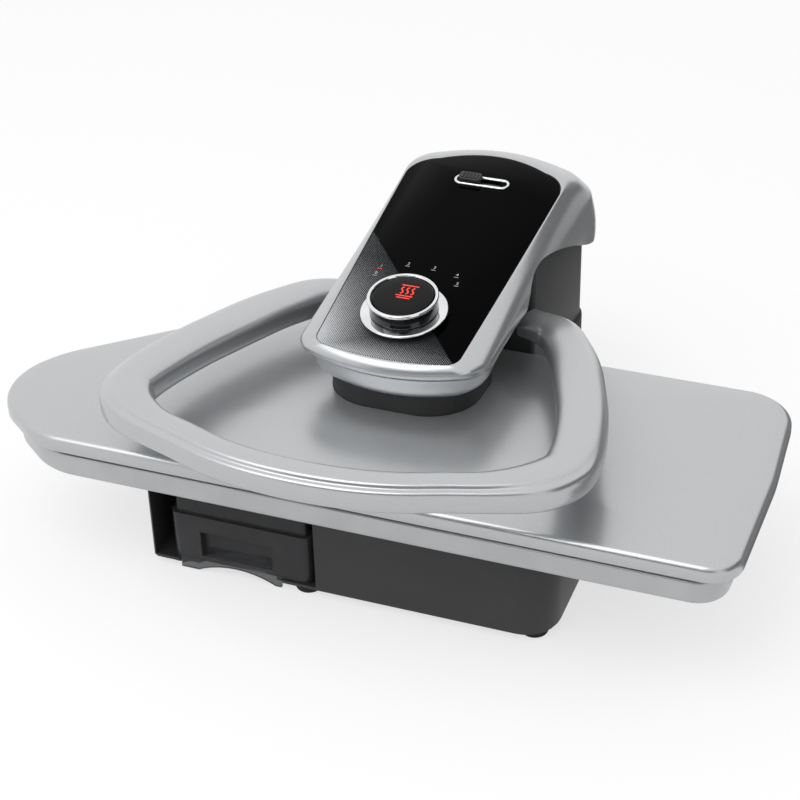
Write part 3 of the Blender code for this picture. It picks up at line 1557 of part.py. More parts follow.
def make_dial_bezel():
    """Chrome flange between the collar and the dial."""
    low = GAP * 2 + COLLAR_HEIGHT
    top = bezel_top()
    return dial_ring("dial_bezel", [
        (DIAL_HOLE_RADIUS, low),
        (BEZEL_RADIUS - BEZEL_HEIGHT / 2, low),
        (BEZEL_RADIUS, low + BEZEL_HEIGHT / 2),
        (BEZEL_RADIUS - BEZEL_HEIGHT / 3, top),
        (DIAL_HOLE_RADIUS, top),
    ], "chrome")


def make_dial_grip():
    """Cup of the dial on its hollow shaft."""
    low = bezel_top() + GAP
    top = low + GRIP_HEIGHT
    bore = BUTTON_POST_RADIUS + RUNNING_GAP
    foot = -HEAD_TOP_WALL - GAP - ENCODER_GRASP
    inner = GRIP_RADIUS - GRIP_WALL
    return dial_ring("dial_grip", [
        (bore, foot),
        (DIAL_SHAFT_RADIUS, foot),
        (DIAL_SHAFT_RADIUS, low),
        (GRIP_RADIUS, low),
        (GRIP_RADIUS - GRIP_WAIST, (low + top) / 2),
        (GRIP_RADIUS, top),
        (inner, top),
        (inner, low + GRIP_FLOOR),
        (bore, low + GRIP_FLOOR),
    ], "silver_paint")


def rim_low():
    """Height of the dial's chrome rim over the panel."""
    return bezel_top() + GRIP_HEIGHT + GAP * 2


def make_dial_rim():
    """Chrome ring on top of the dial's grip."""
    low = rim_low()
    top = low + DIAL_RIM_HEIGHT
    inner = DIAL_RIM_RADIUS - DIAL_RIM_WIDTH
    round_off = DIAL_RIM_HEIGHT / 3
    return dial_ring("dial_rim", [
        (inner, low),
        (DIAL_RIM_RADIUS, low),
        (DIAL_RIM_RADIUS, top - round_off),
        (DIAL_RIM_RADIUS - round_off, top),
        (inner + round_off, top),
        (inner, top - round_off),
    ], "chrome")


def make_button_cap():
    """Steam button in the middle of the dial, with the post that reaches its switch."""
    top = rim_low() + DIAL_RIM_HEIGHT - CAP_SINK
    low = top - CAP_HEIGHT
    radius = GRIP_RADIUS - GRIP_WALL - RUNNING_GAP
    foot = -BOARD_DROP + GAP * 2 + BUTTON_TRAVEL
    profile = [
        (0, foot),
        (BUTTON_POST_RADIUS, foot),
        (BUTTON_POST_RADIUS, low),
        (radius, low),
        (radius, top - CAP_SINK),
        (radius - CAP_SINK, top),
        (0, top),
    ]
    return turned("button_cap", profile, panel_frame(DIAL_BACK), DIAL_SIDES, "black_gloss")


def make_dial_encoder():
    """Encoder and switch under the panel that the dial's shaft turns in."""
    item = tilted_prism(
        "dial_encoder",
        rectangle(ENCODER_SIZE, ENCODER_SIZE),
        -BOARD_DROP + GAP,
        -HEAD_TOP_WALL - GAP,
        panel_frame(DIAL_BACK),
        "dark_plastic",
    )
    cut(item, turned(
        "cut_encoder_bore",
        [
            (0, -BOARD_DROP - OVERRUN),
            (DIAL_HOLE_RADIUS, -BOARD_DROP - OVERRUN),
            (DIAL_HOLE_RADIUS, 0),
            (0, 0),
        ],
        panel_frame(DIAL_BACK),
        16,
    ))
    return item


def make_control_board():
    """Circuit board under the panel, with its standoffs, cut out round the head's bosses."""
    matrix = panel_frame(BOARD_FRONT + BOARD_RUN / 2)
    board = tilted_prism(
        "control_board",
        rectangle(BOARD_HALF_WIDTH * 2, BOARD_RUN),
        -BOARD_DROP - BOARD_THICKNESS,
        -BOARD_DROP,
        matrix,
        "circuit_board",
    )
    inset = STANDOFF_RADIUS * 1.5
    reach_x = BOARD_HALF_WIDTH - inset
    reach_y = BOARD_RUN / 2 - inset
    places = [(x, y) for x in (-reach_x, reach_x) for y in (-reach_y, reach_y)]
    low = -BOARD_DROP - BOARD_THICKNESS / 2
    standoffs = upright_cutters(
        "board_standoffs", places, STANDOFF_RADIUS, low, -HEAD_TOP_WALL - GAP
    )
    standoffs.data.transform(matrix)
    combine(board, standoffs, "UNION")
    cut(board, upright_cutters(
        "cut_board_bosses", frame_screw_places(), BOSS_RADIUS + RUNNING_GAP * 2,
        FRAME_HIGH, FRAME_HIGH + BOARD_RUN, 12,
    ))
    return board


def make_lock_bezel():
    """Chrome ring round the slot of the carrying lock."""
    outer = stadium(LOCK_RING_LENGTH, LOCK_RING_WIDTH)
    wall = LOCK_RING_WALL * 2
    inner = stadium(LOCK_RING_LENGTH - wall, LOCK_RING_WIDTH - wall)
    top = GAP + LOCK_RING_HEIGHT
    rings = [level(outer, GAP), level(outer, top), level(inner, top), level(inner, GAP)]
    ring = loft("lock_bezel", rings, "chrome", joined=True)
    ring.data.transform(panel_frame(LOCK_BACK))
    return ring


def lock_frame():
    """Matrix of the lock's slider, at the left end of its travel."""
    return panel_frame(LOCK_BACK, 0, -LOCK_TRAVEL / 2)


def make_lock_slider():
    """Raised slider of the carrying lock, with its stem through the slot."""
    low = GAP * 2 + LOCK_RING_HEIGHT
    slider = tilted_prism(
        "lock_slider",
        rectangle(SLIDER_LENGTH, SLIDER_WIDTH, SLIDER_WIDTH / 4),
        low,
        SLIDER_HEIGHT,
        lock_frame(),
        "black_gloss",
    )
    stem = tilted_prism(
        "lock_stem",
        rectangle(STEM_SIZE, STEM_SIZE),
        -HEAD_TOP_WALL - STEM_SIZE / 3,
        (low + SLIDER_HEIGHT) / 2,
        lock_frame(),
    )
    combine(slider, stem, "UNION")
    return slider


def make_lock_bolt():
    """Bolt that hangs from the slider's stem and reaches towards the keeper."""
    top = -HEAD_TOP_WALL - STEM_SIZE / 3 - GAP
    leg = tilted_prism(
        "lock_bolt",
        rectangle(STEM_SIZE, STEM_SIZE),
        -BOLT_DROP - STEM_SIZE / 2,
        top,
        lock_frame(),
        "steel",
    )
    start = lock_frame() @ Vector((0, 0, -BOLT_DROP))
    tip = KEEPER_X - RUNNING_GAP + LOCK_TRAVEL / 2
    end = start + Vector((tip, 0, 0))
    combine(leg, rod("lock_bolt_pin", start, end, BOLT_RADIUS, 12), "UNION")
    return leg


def neck_outline(inset=0.0):
    """Plan outline of the neck."""
    outline = rectangle(NECK_HALF_WIDTH * 2, NECK_HALF_DEPTH * 2, NECK_RADIUS, ARM_X, NECK_Y)
    return shift(outline, inset)


def make_neck_collar():
    """Dark sleeve between the head and the shoe."""
    rings = [
        level(neck_outline(), NECK_LOW),
        level(neck_outline(), NECK_TOP),
        level(neck_outline(NECK_WALL), NECK_TOP),
        level(neck_outline(NECK_WALL), NECK_LOW),
    ]
    return loft("neck_collar", rings, "dark_plastic", joined=True)


def make_shoe_mount():
    """Post that carries the shoe under the frame's web."""
    top = FRAME_HIGH - FRAME_SHEET - GAP
    post = rod(
        "shoe_mount", (ARM_X, NECK_Y, POST_LOW), (ARM_X, NECK_Y, top), POST_RADIUS, 20, "aluminium"
    )
    cut(post, upright_cutters(
        "cut_post_bores", post_screw_places(), SCREW_SHANK + GAP,
        FRAME_HIGH - SCREW_LENGTH - GAP, top + OVERRUN,
    ))
    return post


def make_shoe_screws():
    """Screws that hold the post to the frame's web."""
    for name, (x, y) in zip(("shoe_screw_left", "shoe_screw_right"), post_screw_places()):
        screw(name, (x, y, FRAME_HIGH + GAP), (0, 0, -1), "steel")


def make_head_screws():
    """Screws that hold the head to the frame's web."""
    height = FRAME_HIGH - FRAME_SHEET - GAP
    for name, (x, y) in zip(("head_screw_front", "head_screw_back"), frame_screw_places()):
        screw(name, (x, y, height), (0, 0, 1), "steel")


def cover_rings(wall=0.0):
    """Rings of the shoe cover's skin from its rim up, or of its inside."""
    outline = board_outline(wall, wall)
    centre = (0, BOARD_Y)
    rings = []
    if not wall:
        rings.append(level(board_outline(RIM_LIP, RIM_LIP), COVER_LOW))
        rings.append(level(outline, COVER_LOW + RIM_LIP))
    else:
        rings.append(level(outline, COVER_LOW))
    for inset_share, drop_share in RIM_SHARES:
        inset = wall + inset_share * RIM_ROUND
        height = RIM_TOP - drop_share * RIM_ROUND - wall
        rings.append(level(board_outline(inset, inset), height))
    for share, rise in CROWN_SHARES:
        height = RIM_TOP + CROWN_HEIGHT * rise - wall
        rings.append(level(scaled(outline, share, centre), height))
    return rings


def make_shoe_cover():
    """Silver cover of the pressing shoe, open below."""
    inside = list(reversed(cover_rings(SHOE_WALL)))
    cover = loft("shoe_cover", inside + cover_rings(), "silver_paint")
    top = RIM_TOP + CROWN_HEIGHT + OVERRUN
    cut(cover, prism("cut_cover_neck", neck_outline(-GAP), NECK_LOW - GAP, top))
    return cover


def make_sole_plate():
    """Aluminium sole with its steam holes."""
    outline = board_outline(SOLE_INSET, SOLE_INSET)
    sole = prism("sole_plate", outline, SOLE_LOW, SOLE_TOP, "aluminium")
    holes = [
        (STEAM_PITCH_X * (column - (STEAM_COLUMNS - 1) / 2),
         BOARD_Y + STEAM_PITCH_Y * (row - (STEAM_ROWS - 1) / 2))
        for row in range(STEAM_ROWS)
        for column in range(STEAM_COLUMNS)
    ]
    cut(sole, upright_cutters(
        "cut_steam_holes", holes, STEAM_HOLE_RADIUS, SOLE_LOW - OVERRUN, SOLE_TOP + OVERRUN, 6
    ))
    return sole


def chamber_outline(grow=0.0):
    """Plan outline of the steam chamber on the heated block."""
    return rectangle(
        CHAMBER_LENGTH + 2 * grow,
        CHAMBER_DEPTH + 2 * grow,
        CHAMBER_RADIUS,
        ARM_X + CHAMBER_SHIFT,
        NECK_Y,
    )


def make_heat_block():
    """Cast heated block with its steam chamber."""
    centre = (0, BOARD_Y)
    outline = scaled(board_outline(), BLOCK_SHARE, centre)
    block = prism("heat_block", outline, BLOCK_LOW, BLOCK_TOP, "aluminium")
    low = BLOCK_TOP - BLOCK_THICKNESS / 2
    chamber = prism("steam_chamber", chamber_outline(), low, BLOCK_TOP + CHAMBER_HEIGHT)
    combine(block, chamber, "UNION")
    return block


def make_heating_element():
    """Heating rod bent to a U on the block."""
    height = BLOCK_TOP + GAP + ELEMENT_RADIUS
    half_x = BOARD_LENGTH / 2 * ELEMENT_SHARE
    half_y = COVER_DEPTH / 2 * ELEMENT_SHARE
    return hose("heating_element", [
        (x * half_x, BOARD_Y + y * half_y, height) for x, y in ELEMENT_PATH_SHARES
    ], ELEMENT_RADIUS, "steel", steps=3)


def make_insulation_sheet():
    """Insulating sheet over the element."""
    outline = scaled(board_outline(), SHEET_SHARE, (0, BOARD_Y))
    top = SHEET_LOW + SHEET_THICKNESS
    sheet = prism("insulation_sheet", outline, SHEET_LOW, top, "glass_wool")
    window = chamber_outline(RUNNING_GAP * 2)
    cut(sheet, prism("cut_sheet_window", window, SHEET_LOW - OVERRUN, top + OVERRUN))
    return sheet


def make_thermostat():
    """Thermostat disc on the heated block."""
    low = BLOCK_TOP + GAP
    start = (THERMOSTAT_X, BOARD_Y, low)
    end = (THERMOSTAT_X, BOARD_Y, low + THERMOSTAT_HEIGHT)
    return rod("thermostat", start, end, THERMOSTAT_RADIUS, 16, "steel")


def make_feed_hose():
    """Hose from the hollow shaft forward inside the frame and down to the chamber."""
    x = ARM_X - FRAME_HALF + FRAME_SHEET + HOSE_RADIUS * 1.7
    run_z = (FRAME_LOW + FRAME_HIGH) / 2 - HOSE_RADIUS / 2
    over_z = CROSSBAR_Z + CROSSBAR_RADIUS + HOSE_RADIUS + HOSE_END_GAP
    start_y = HINGE_Y - SHAFT_RADIUS - HOSE_END_GAP
    bend = HOSE_RADIUS * 4
    return hose("feed_hose", [
        (x, start_y, HINGE_Z),
        (x, start_y - bend / 3, HINGE_Z),
        (x, start_y - bend, HINGE_Z),
        (x, start_y - bend * 3, (HINGE_Z + run_z) / 2),
        (x, start_y - bend * 5, (HINGE_Z + over_z) / 2 + HOSE_RADIUS),
        (x, CROSSBAR_Y + bend, over_z),
        (x, CROSSBAR_Y, over_z),
        (x, CROSSBAR_Y - bend, (over_z + run_z) / 2),
        (x, CROSSBAR_Y - bend * 2, run_z),
        (x, NECK_Y + bend * 2, run_z),
        (x, NECK_Y + bend / 3, run_z - bend / 2),
        (x, NECK_Y, run_z - bend * 1.6),
        (x, NECK_Y, POST_LOW + bend),
        (x, NECK_Y, POST_LOW + HOSE_END_GAP),
    ], HOSE_RADIUS, "rubber", steps=3)


def make_loop_handle():
    """Silver loop handle round the front of the shoe."""
    reach = CROSSBAR_Y - HANDLE_FRONT_Y
    half = [
        (x * HANDLE_HALF_WIDTH, HANDLE_FRONT_Y + y * reach) for x, y in HANDLE_PATH_SHARES
    ]
    half[-1] = (HANDLE_INNER, half[-1][1])
    path = [(-x, y) for x, y in reversed(half[1:])] + half
    dense = smooth_route([(ARM_X + x, y, 0) for x, y in path], 8)
    lengths = [0]
    for before, here, ahead in zip(dense[:1] + dense, dense, dense[1:]):
        turn = (here - before).angle(ahead - here, 0)
        lengths.append(lengths[-1] + (ahead - here).length + HANDLE_TURN_WEIGHT * turn)
    rings = []
    place = 0
    for step in range(HANDLE_STEPS + 1):
        target = lengths[-1] * step / HANDLE_STEPS
        while place < len(dense) - 2 and lengths[place + 1] < target:
            place += 1
        share = (target - lengths[place]) / (lengths[place + 1] - lengths[place])
        spot = dense[place].lerp(dense[place + 1], share)
        heading = dense[min(place + 2, len(dense) - 1)] - dense[max(place - 1, 0)]
        if step in (0, HANDLE_STEPS):
            heading = Vector((-1, 0, 0))
        across = Vector((heading.y, -heading.x, 0)).normalized()
        rings.append(handle_section(spot, across, abs(2 * step / HANDLE_STEPS - 1)))
    handle = loft("loop_handle", rings, "silver_paint")
    reach = HANDLE_INNER + CROSSBAR_SOCKET + GAP
    cut(handle, rod(
        "cut_handle_socket",
        (ARM_X - reach, CROSSBAR_Y, CROSSBAR_Z),
        (ARM_X + reach, CROSSBAR_Y, CROSSBAR_Z),
        CROSSBAR_RADIUS + GAP,
        16,
    ))
    return handle


def handle_size(place):
    """Width and height of the loop handle's section, from its front at 0 to its end at 1."""
    for start, end in zip(HANDLE_SECTION_SHARES, HANDLE_SECTION_SHARES[1:]):
        if place <= end[0]:
            break
    share = (place - start[0]) / (end[0] - start[0])
    ease = share * share * (3 - 2 * share)
    wide, tall = (low + (high - low) * ease for low, high in zip(start[1:], end[1:]))
    return wide * HANDLE_WIDTH, tall * HANDLE_HEIGHT


def handle_section(spot, across, place):
    """One soft-cornered section of the loop handle."""
    width, height = handle_size(place)
    centre = Vector((spot.x, spot.y, HANDLE_BACK_Z + HANDLE_SLOPE * (CROSSBAR_Y - spot.y)))
    ring = []
    for side in range(HANDLE_SIDES):
        angle = math.tau * side / HANDLE_SIDES
        power = 2 / HANDLE_SQUARENESS
        wide = math.copysign(abs(math.cos(angle)) ** power, math.cos(angle))
        tall = math.copysign(abs(math.sin(angle)) ** power, math.sin(angle))
        ring.append(
            centre
            + across * wide * width / 2
            + Vector((0, 0, tall * height / 2))
        )
    return ring


def tank_outline(inset=0.0):
    """Plan outline of the water tank."""
    left = BASE_LEFT + BASE_WALL + TANK_SIDE_GAP
    right = BAY_RIGHT_X - TANK_RIGHT_GAP
    front = BASE_FRONT + TANK_FRONT_INSET
    back = BAY_BACK - TANK_BACK_GAP
    outline = rectangle(
        right - left, back - front, TANK_CORNER, (left + right) / 2, (front + back) / 2
    )
    return shift(outline, inset)


def pocket_box(name, grow=0.0):
    """Finger pocket in the tank's front, or the room its walls take."""
    front = BASE_FRONT + TANK_FRONT_INSET
    middle = tank_centre() + POCKET_SHIFT
    low = TANK_LOW + POCKET_LIFT
    half = POCKET_WIDTH / 2 + grow
    return box(
        name,
        (middle - half, front - OVERRUN, low - grow),
        (middle + half, front + POCKET_DEPTH + grow, low + POCKET_HEIGHT + grow),
    )


def cap_place():
    """Plan position of the tank's filler cap."""
    front = BASE_FRONT + TANK_FRONT_INSET
    return (tank_centre(), front + CAP_RADIUS * 1.6)


def arch_cutter(name):
    """Round cutter of the pull arch in the tank's apron."""
    front = BASE_FRONT + TANK_FRONT_INSET
    height = APRON_LOW + ARCH_HEIGHT - ARCH_RADIUS
    start = (NOTCH_X, front - OVERRUN, height)
    return rod(name, start, (NOTCH_X, front + OVERRUN, height), ARCH_RADIUS, 64)


def make_water_tank():
    """Smoky water tank with a stepped top, a finger pocket and a filler neck."""
    side = TANK_LOW + TANK_SIDE_HEIGHT
    top = TANK_LOW + TANK_TOP_HEIGHT
    tank = loft("water_tank", [
        level(tank_outline(), TANK_LOW),
        level(tank_outline(), side),
        level(tank_outline(TANK_LEDGE), side),
        level(tank_outline(TANK_LEDGE), top),
    ], "smoke_plastic")
    combine(tank, apron_box("tank_apron"), "UNION")
    cut(tank, arch_cutter("cut_tank_arch"))
    room = loft("cut_tank_room", [
        level(tank_outline(TANK_WALL), TANK_LOW + TANK_WALL),
        level(tank_outline(TANK_WALL), side - TANK_WALL),
        level(tank_outline(TANK_LEDGE + TANK_WALL), side - TANK_WALL),
        level(tank_outline(TANK_LEDGE + TANK_WALL), top - TANK_WALL),
    ])
    cut(room, pocket_box("cut_pocket_room", TANK_WALL))
    x, y = cap_place()
    neck_top = top + CAP_NECK_HEIGHT
    neck = rod("tank_neck", (x, y, top - TANK_WALL / 2), (x, y, neck_top), CAP_NECK_RADIUS, 20)
    combine(tank, neck, "UNION")
    cut(tank, room)
    cut(tank, rod(
        "cut_tank_neck", (x, y, top - TANK_WALL * 2), (x, y, neck_top + OVERRUN), CAP_NECK_BORE, 20
    ))
    cut(tank, pocket_box("cut_tank_pocket"))
    return tank


def make_tank_spigot():
    """Spout at the tank's back that plugs into the dock."""
    start = (tank_centre(), BAY_BACK - TANK_BACK_GAP + GAP, SPIGOT_Z)
    end = (start[0], start[1] + SPIGOT_LENGTH, SPIGOT_Z)
    return pipe("tank_spigot", start, end, SPIGOT_BORE, SPIGOT_RADIUS, 16, "dark_plastic")


def make_tank_cap():
    """Ribbed screw cap on the tank's filler neck."""
    x, y = cap_place()
    low = TANK_LOW + TANK_TOP_HEIGHT + GAP
    outline = []
    for step in range(CAP_RIBS * 2):
        angle = math.tau * step / (CAP_RIBS * 2)
        radius = CAP_RADIUS - CAP_RIB * (step % 2)
        outline.append((x + radius * math.cos(angle), y + radius * math.sin(angle)))
    centre = (x, y)
    rings = [
        level(outline, low),
        level(outline, low + CAP_TALL - CAP_RIB),
        level(scaled(outline, 1 - CAP_RIB / CAP_RADIUS, centre), low + CAP_TALL),
    ]
    item = loft("tank_cap", rings, "dark_plastic")
    ceiling = low + CAP_TALL - CAP_TOP
    cut(item, rod(
        "cut_cap_room", (x, y, low - OVERRUN), (x, y, ceiling), CAP_NECK_RADIUS + RUNNING_GAP, 20
    ))
    return item


def pivot(name, place, parent=None):
    """Empty on a joint's axis."""
    empty = bpy.data.objects.new(name, None)
    bpy.context.scene.collection.objects.link(empty)
    empty.empty_display_size = OVERRUN
    empty.location = place
    if parent:
        attach(empty, parent)
    return empty


def attach(item, parent):
    """Parent an object and keep it where it is."""
    bpy.context.view_layer.update()
    item.parent = parent
    item.matrix_parent_inverse = parent.matrix_world.inverted()


def attach_all(parent, *names):
    """Parent several named objects."""
    for name in names:
        attach(bpy.data.objects[name], parent)


def make_pivots():
    """Joints: the arm, the dial, the button, the lock, the tank and its cap."""
    arm = pivot("arm_pivot", (ARM_X, HINGE_Y, HINGE_Z))
    attach_all(
        arm, "hinge_shaft", "arm_frame", "handle_crossbar", "head_upper_shell",
        "head_lower_shell", "front_panel", "dial_collar", "dial_bezel", "dial_encoder",
        "control_board", "lock_bezel", "neck_collar", "shoe_mount", "shoe_cover",
        "sole_plate", "heat_block", "heating_element", "insulation_sheet", "thermostat",
        "feed_hose", "loop_handle", "head_screw_front", "head_screw_back",
        "shoe_screw_left", "shoe_screw_right",
    )
    attach_all(pivot("dial_pivot", on_panel(DIAL_BACK), arm), "dial_grip", "dial_rim")
    attach_all(pivot("button_pivot", on_panel(DIAL_BACK), arm), "button_cap")
    lock = pivot("lock_pivot", on_panel(LOCK_BACK, 0, -LOCK_TRAVEL / 2), arm)
    attach_all(lock, "lock_slider", "lock_bolt")
    tank = pivot("tank_pivot", (tank_centre(), BAY_BACK, TANK_LOW))
    attach_all(tank, "water_tank", "tank_spigot")
    attach_all(pivot("cap_pivot", (*cap_place(), TANK_LOW + TANK_TOP_HEIGHT), tank), "tank_cap")


def make_base():
    """Everything that stands still."""
    make_base_shell()
    make_base_plate()
    make_feet()
    make_base_screws()
    make_board_pan()
    make_foam_pad()
    make_pad_cover()
    make_column_shell()
    make_hinge_bracket()
    make_hinge_bushes()
    make_lift_springs()
    make_steam_swivel()
    make_lock_keeper()
    make_pump()
    make_water_lines()
    make_tank_dock()
    make_power_board()
    make_cord_inlet()


def make_arm():
    """The arm with its head, dial, lock and shoe."""
    make_hinge_shaft()
    make_arm_frame()
    make_handle_crossbar()
    shell = make_head_upper_shell()
    make_head_lower_shell()
    panel_cuts(make_front_panel(), shell)
    make_dial_collar()
    make_dial_bezel()
    make_dial_grip()
    make_dial_rim()
    make_button_cap()
    make_dial_encoder()
    make_control_board()
    make_lock_bezel()
    make_lock_slider()
    make_lock_bolt()
    make_neck_collar()
    make_shoe_mount()
    make_shoe_screws()
    make_head_screws()
    make_shoe_cover()
    make_sole_plate()
    make_heat_block()
    make_heating_element()
    make_insulation_sheet()
    make_thermostat()
    make_feed_hose()
    make_loop_handle()


def make_tank():
    """The water tank with its spigot and cap."""
    make_water_tank()
    make_tank_spigot()
    make_tank_cap()


def main():
    clear_scene()
    make_base()
    make_arm()
    make_tank()
    make_pivots()


main()
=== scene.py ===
"""Looks of a tabletop steam ironing press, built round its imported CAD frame.

Laid out as an add-on: a group of sizes and colours, one operator for each group of
pieces, a panel that lists them, and a main function that runs them in order.
"""

import json
import math

import bmesh
import bpy
from mathutils import Matrix, Vector, noise


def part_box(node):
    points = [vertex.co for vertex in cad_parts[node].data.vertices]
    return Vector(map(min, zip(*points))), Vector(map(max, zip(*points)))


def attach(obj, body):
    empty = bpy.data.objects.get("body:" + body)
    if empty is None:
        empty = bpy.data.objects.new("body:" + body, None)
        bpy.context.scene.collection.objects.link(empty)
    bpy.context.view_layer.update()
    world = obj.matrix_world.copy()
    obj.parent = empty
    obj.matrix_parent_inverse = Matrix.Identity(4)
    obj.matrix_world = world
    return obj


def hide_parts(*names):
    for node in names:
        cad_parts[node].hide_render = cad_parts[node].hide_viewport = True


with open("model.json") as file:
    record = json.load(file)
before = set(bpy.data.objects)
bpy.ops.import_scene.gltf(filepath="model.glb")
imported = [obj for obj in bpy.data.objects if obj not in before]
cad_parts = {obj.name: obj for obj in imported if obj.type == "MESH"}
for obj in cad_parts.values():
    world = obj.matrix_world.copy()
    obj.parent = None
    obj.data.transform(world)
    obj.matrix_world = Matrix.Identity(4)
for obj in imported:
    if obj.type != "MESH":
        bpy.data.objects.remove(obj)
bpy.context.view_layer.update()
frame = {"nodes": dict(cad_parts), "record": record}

bl_info = {
    "name": "Steam ironing press",
    "version": (1, 0, 0),
    "blender": (4, 5, 0),
    "location": "3D Viewport > Sidebar > Press",
    "description": "Builds the pieces, finishes and stage of a tabletop steam ironing press",
    "category": "Add Mesh",
}

RECORD = frame["record"]
BODY_OF = {
    node: body
    for body, nodes in RECORD["behaviour"]["bodies"].items()
    for node in nodes
}
SLOT_OF = {part["node"]: part["material_slot"] for part in RECORD["subparts"]}

# Sizes and places that the pieces share, in metres, as the frame has them. PANEL_FRONT is y
# and z of the panel's near edge, from which DIAL_BACK and LOCK_BACK go back, and the heights
# of the dial's pieces stand square on the panel.
ARM_X = 0.005
BOARD_Y = -0.0605
SLOPE = math.radians(10)
PANEL_FRONT = (-0.0875, 0.1964)
DIAL_BACK = 0.0537
LOCK_BACK = 0.254
DIAL_BORE = 0.0066
BEZEL_LOW = 0.0053
BEZEL_TOP = 0.0085
RIM_LOW = 0.0203
PANEL_LENGTH = 0.297
PANEL_HALF = 0.074
PANEL_THICKNESS = 0.0030
PANEL_GAP = 0.0007
NECK_ROUND = 0.046
NECK_GAP = 0.0003

# Steps of the drawn finishes: flakes in the lacquer, cells in the foam, dots on the panel and
# threads of the cover
FLAKE_SIZE = 0.0006
CELL_SIZE = 0.001
DOT_PITCH = 0.0015
THREAD_PITCH = 0.0009

# Corners of the board's outline: shares of half its length and depth, and radii as shares
# of half its depth. The nose points left, the right end is square.
BOARD_CORNERS = (
    (-0.794, -1.000, 0.45),
    (0.991, -1.000, 0.21),
    (1.003, 0.040, 2.00),
    (0.986, 1.000, 0.34),
    (-0.505, 1.000, 0.60),
    (-0.935, -0.020, 0.60),
    (-1.000, -0.330, 0.45),
    (-0.960, -0.690, 0.45),
)

# Skin of the head from the panel's edge down. Each row holds the insets at the front and back
# as shares of its length, the half widths at the front, middle and back as shares of its half
# width, the drops at the front and back as shares of its full drop, and the radii of the
# front and back corners and the bow of the back as shares of its half width.
HEAD_FRONT = -0.094
HEAD_BACK = 0.2733
HEAD_LENGTH = 0.3675
HEAD_HALF = 0.092
HEAD_DROP = 0.118
HEAD_WALL = 0.003
RECESS_DEPTH = 0.0036
HEAD_RINGS = (
    (0.0136, 0.1660, 0.712, 0.775, 0.828, 0.000, 0.000, 0.165, 0.290, 0.155),
    (0.0068, 0.1360, 0.761, 0.808, 0.855, 0.013, 0.033, 0.195, 0.320, 0.155),
    (0.0000, 0.0871, 0.853, 0.874, 0.915, 0.051, 0.123, 0.240, 0.370, 0.140),
    (0.0041, 0.0381, 0.897, 0.929, 0.989, 0.093, 0.297, 0.280, 0.402, 0.120),
    (0.0231, 0.0109, 0.908, 0.935, 1.000, 0.144, 0.500, 0.300, 0.413, 0.098),
    (0.0272, 0.0014, 0.891, 0.885, 1.000, 0.178, 0.653, 0.330, 0.413, 0.087),
    (0.0327, 0.0000, 0.853, 0.825, 0.989, 0.263, 0.763, 0.360, 0.402, 0.087),
    (0.0422, 0.0041, 0.794, 0.750, 0.957, 0.331, 0.881, 0.370, 0.380, 0.087),
    (0.0585, 0.0163, 0.717, 0.680, 0.913, 0.364, 1.000, 0.370, 0.360, 0.087),
)

# Lower edge of the head's side where it arches over the tower: shares of its length and of
# the arch's rise
ARCH_FOOT = (0.3565, -0.900)
ARCH = (
    (0.3578, 0.479),
    (0.374, 0.646),
    (0.396, 0.792),
    (0.434, 0.938),
    (0.472, 1.000),
    (0.513, 1.000),
    (0.578, 0.906),
    (0.641, 0.750),
    (0.717, 0.520),
    (0.793, 0.250),
    (0.886, 0.010),
    (1.046, 0.000),
)
ARCH_LOW = 0.165
ARCH_RISE = 0.048

# Centre line of half the loop handle from its front: shares of its half width and of the
# way back to the bar that carries it
HANDLE_PATH = (
    (0.000, 0.000),
    (0.211, 0.008),
    (0.400, 0.032),
    (0.584, 0.073),
    (0.757, 0.112),
    (0.908, 0.169),
    (0.989, 0.240),
    (1.000, 0.315),
    (0.978, 0.410),
    (0.930, 0.529),
    (0.870, 0.637),
    (0.778, 0.784),
    (0.690, 0.885),
    (0.585, 0.970),
    (0.427, 1.010),
)
# Sections of the handle: share of the half length, width and height as shares of the
# largest, and how much of the crease along its outer side shows there
HANDLE_SECTIONS = (
    (0.00, 0.714, 0.867, 1.0),
    (0.27, 0.714, 0.867, 1.0),
    (0.40, 1.000, 1.000, 0.5),
    (0.52, 1.000, 1.000, 0.0),
    (0.74, 1.000, 1.000, 0.0),
    (0.88, 0.880, 1.000, 0.0),
    (1.00, 0.714, 0.700, 0.0),
)
# Its half width, the ends of its way back, its height at the back end and its rise per metre
# towards the front, and the width and height of its largest section
HANDLE_HALF = 0.185
HANDLE_FRONT = -0.2584
HANDLE_BACK = 0.056
HANDLE_LEVEL = 0.1655
HANDLE_LEAN = 0.062
HANDLE_WIDE = 0.042
HANDLE_TALL = 0.030
# The crease: the turn round the section where it lies and how far it spreads, in degrees,
# and its depth as a share of the section's reach
CREASE_TURN = 48
CREASE_SPREAD = 9.5
CREASE_DEPTH = 0.13


# ---------------------------------------------------------------- colours and materials


def tone(code):
    """Linear colour, with alpha 1, of an sRGB hex value such as #c0c2c4."""
    parts = [int(code[place:place + 2], 16) / 255 for place in (1, 3, 5)]
    return tuple(
        part / 12.92 if part <= 0.04045 else ((part + 0.055) / 1.055) ** 2.4 for part in parts
    ) + (1.0,)


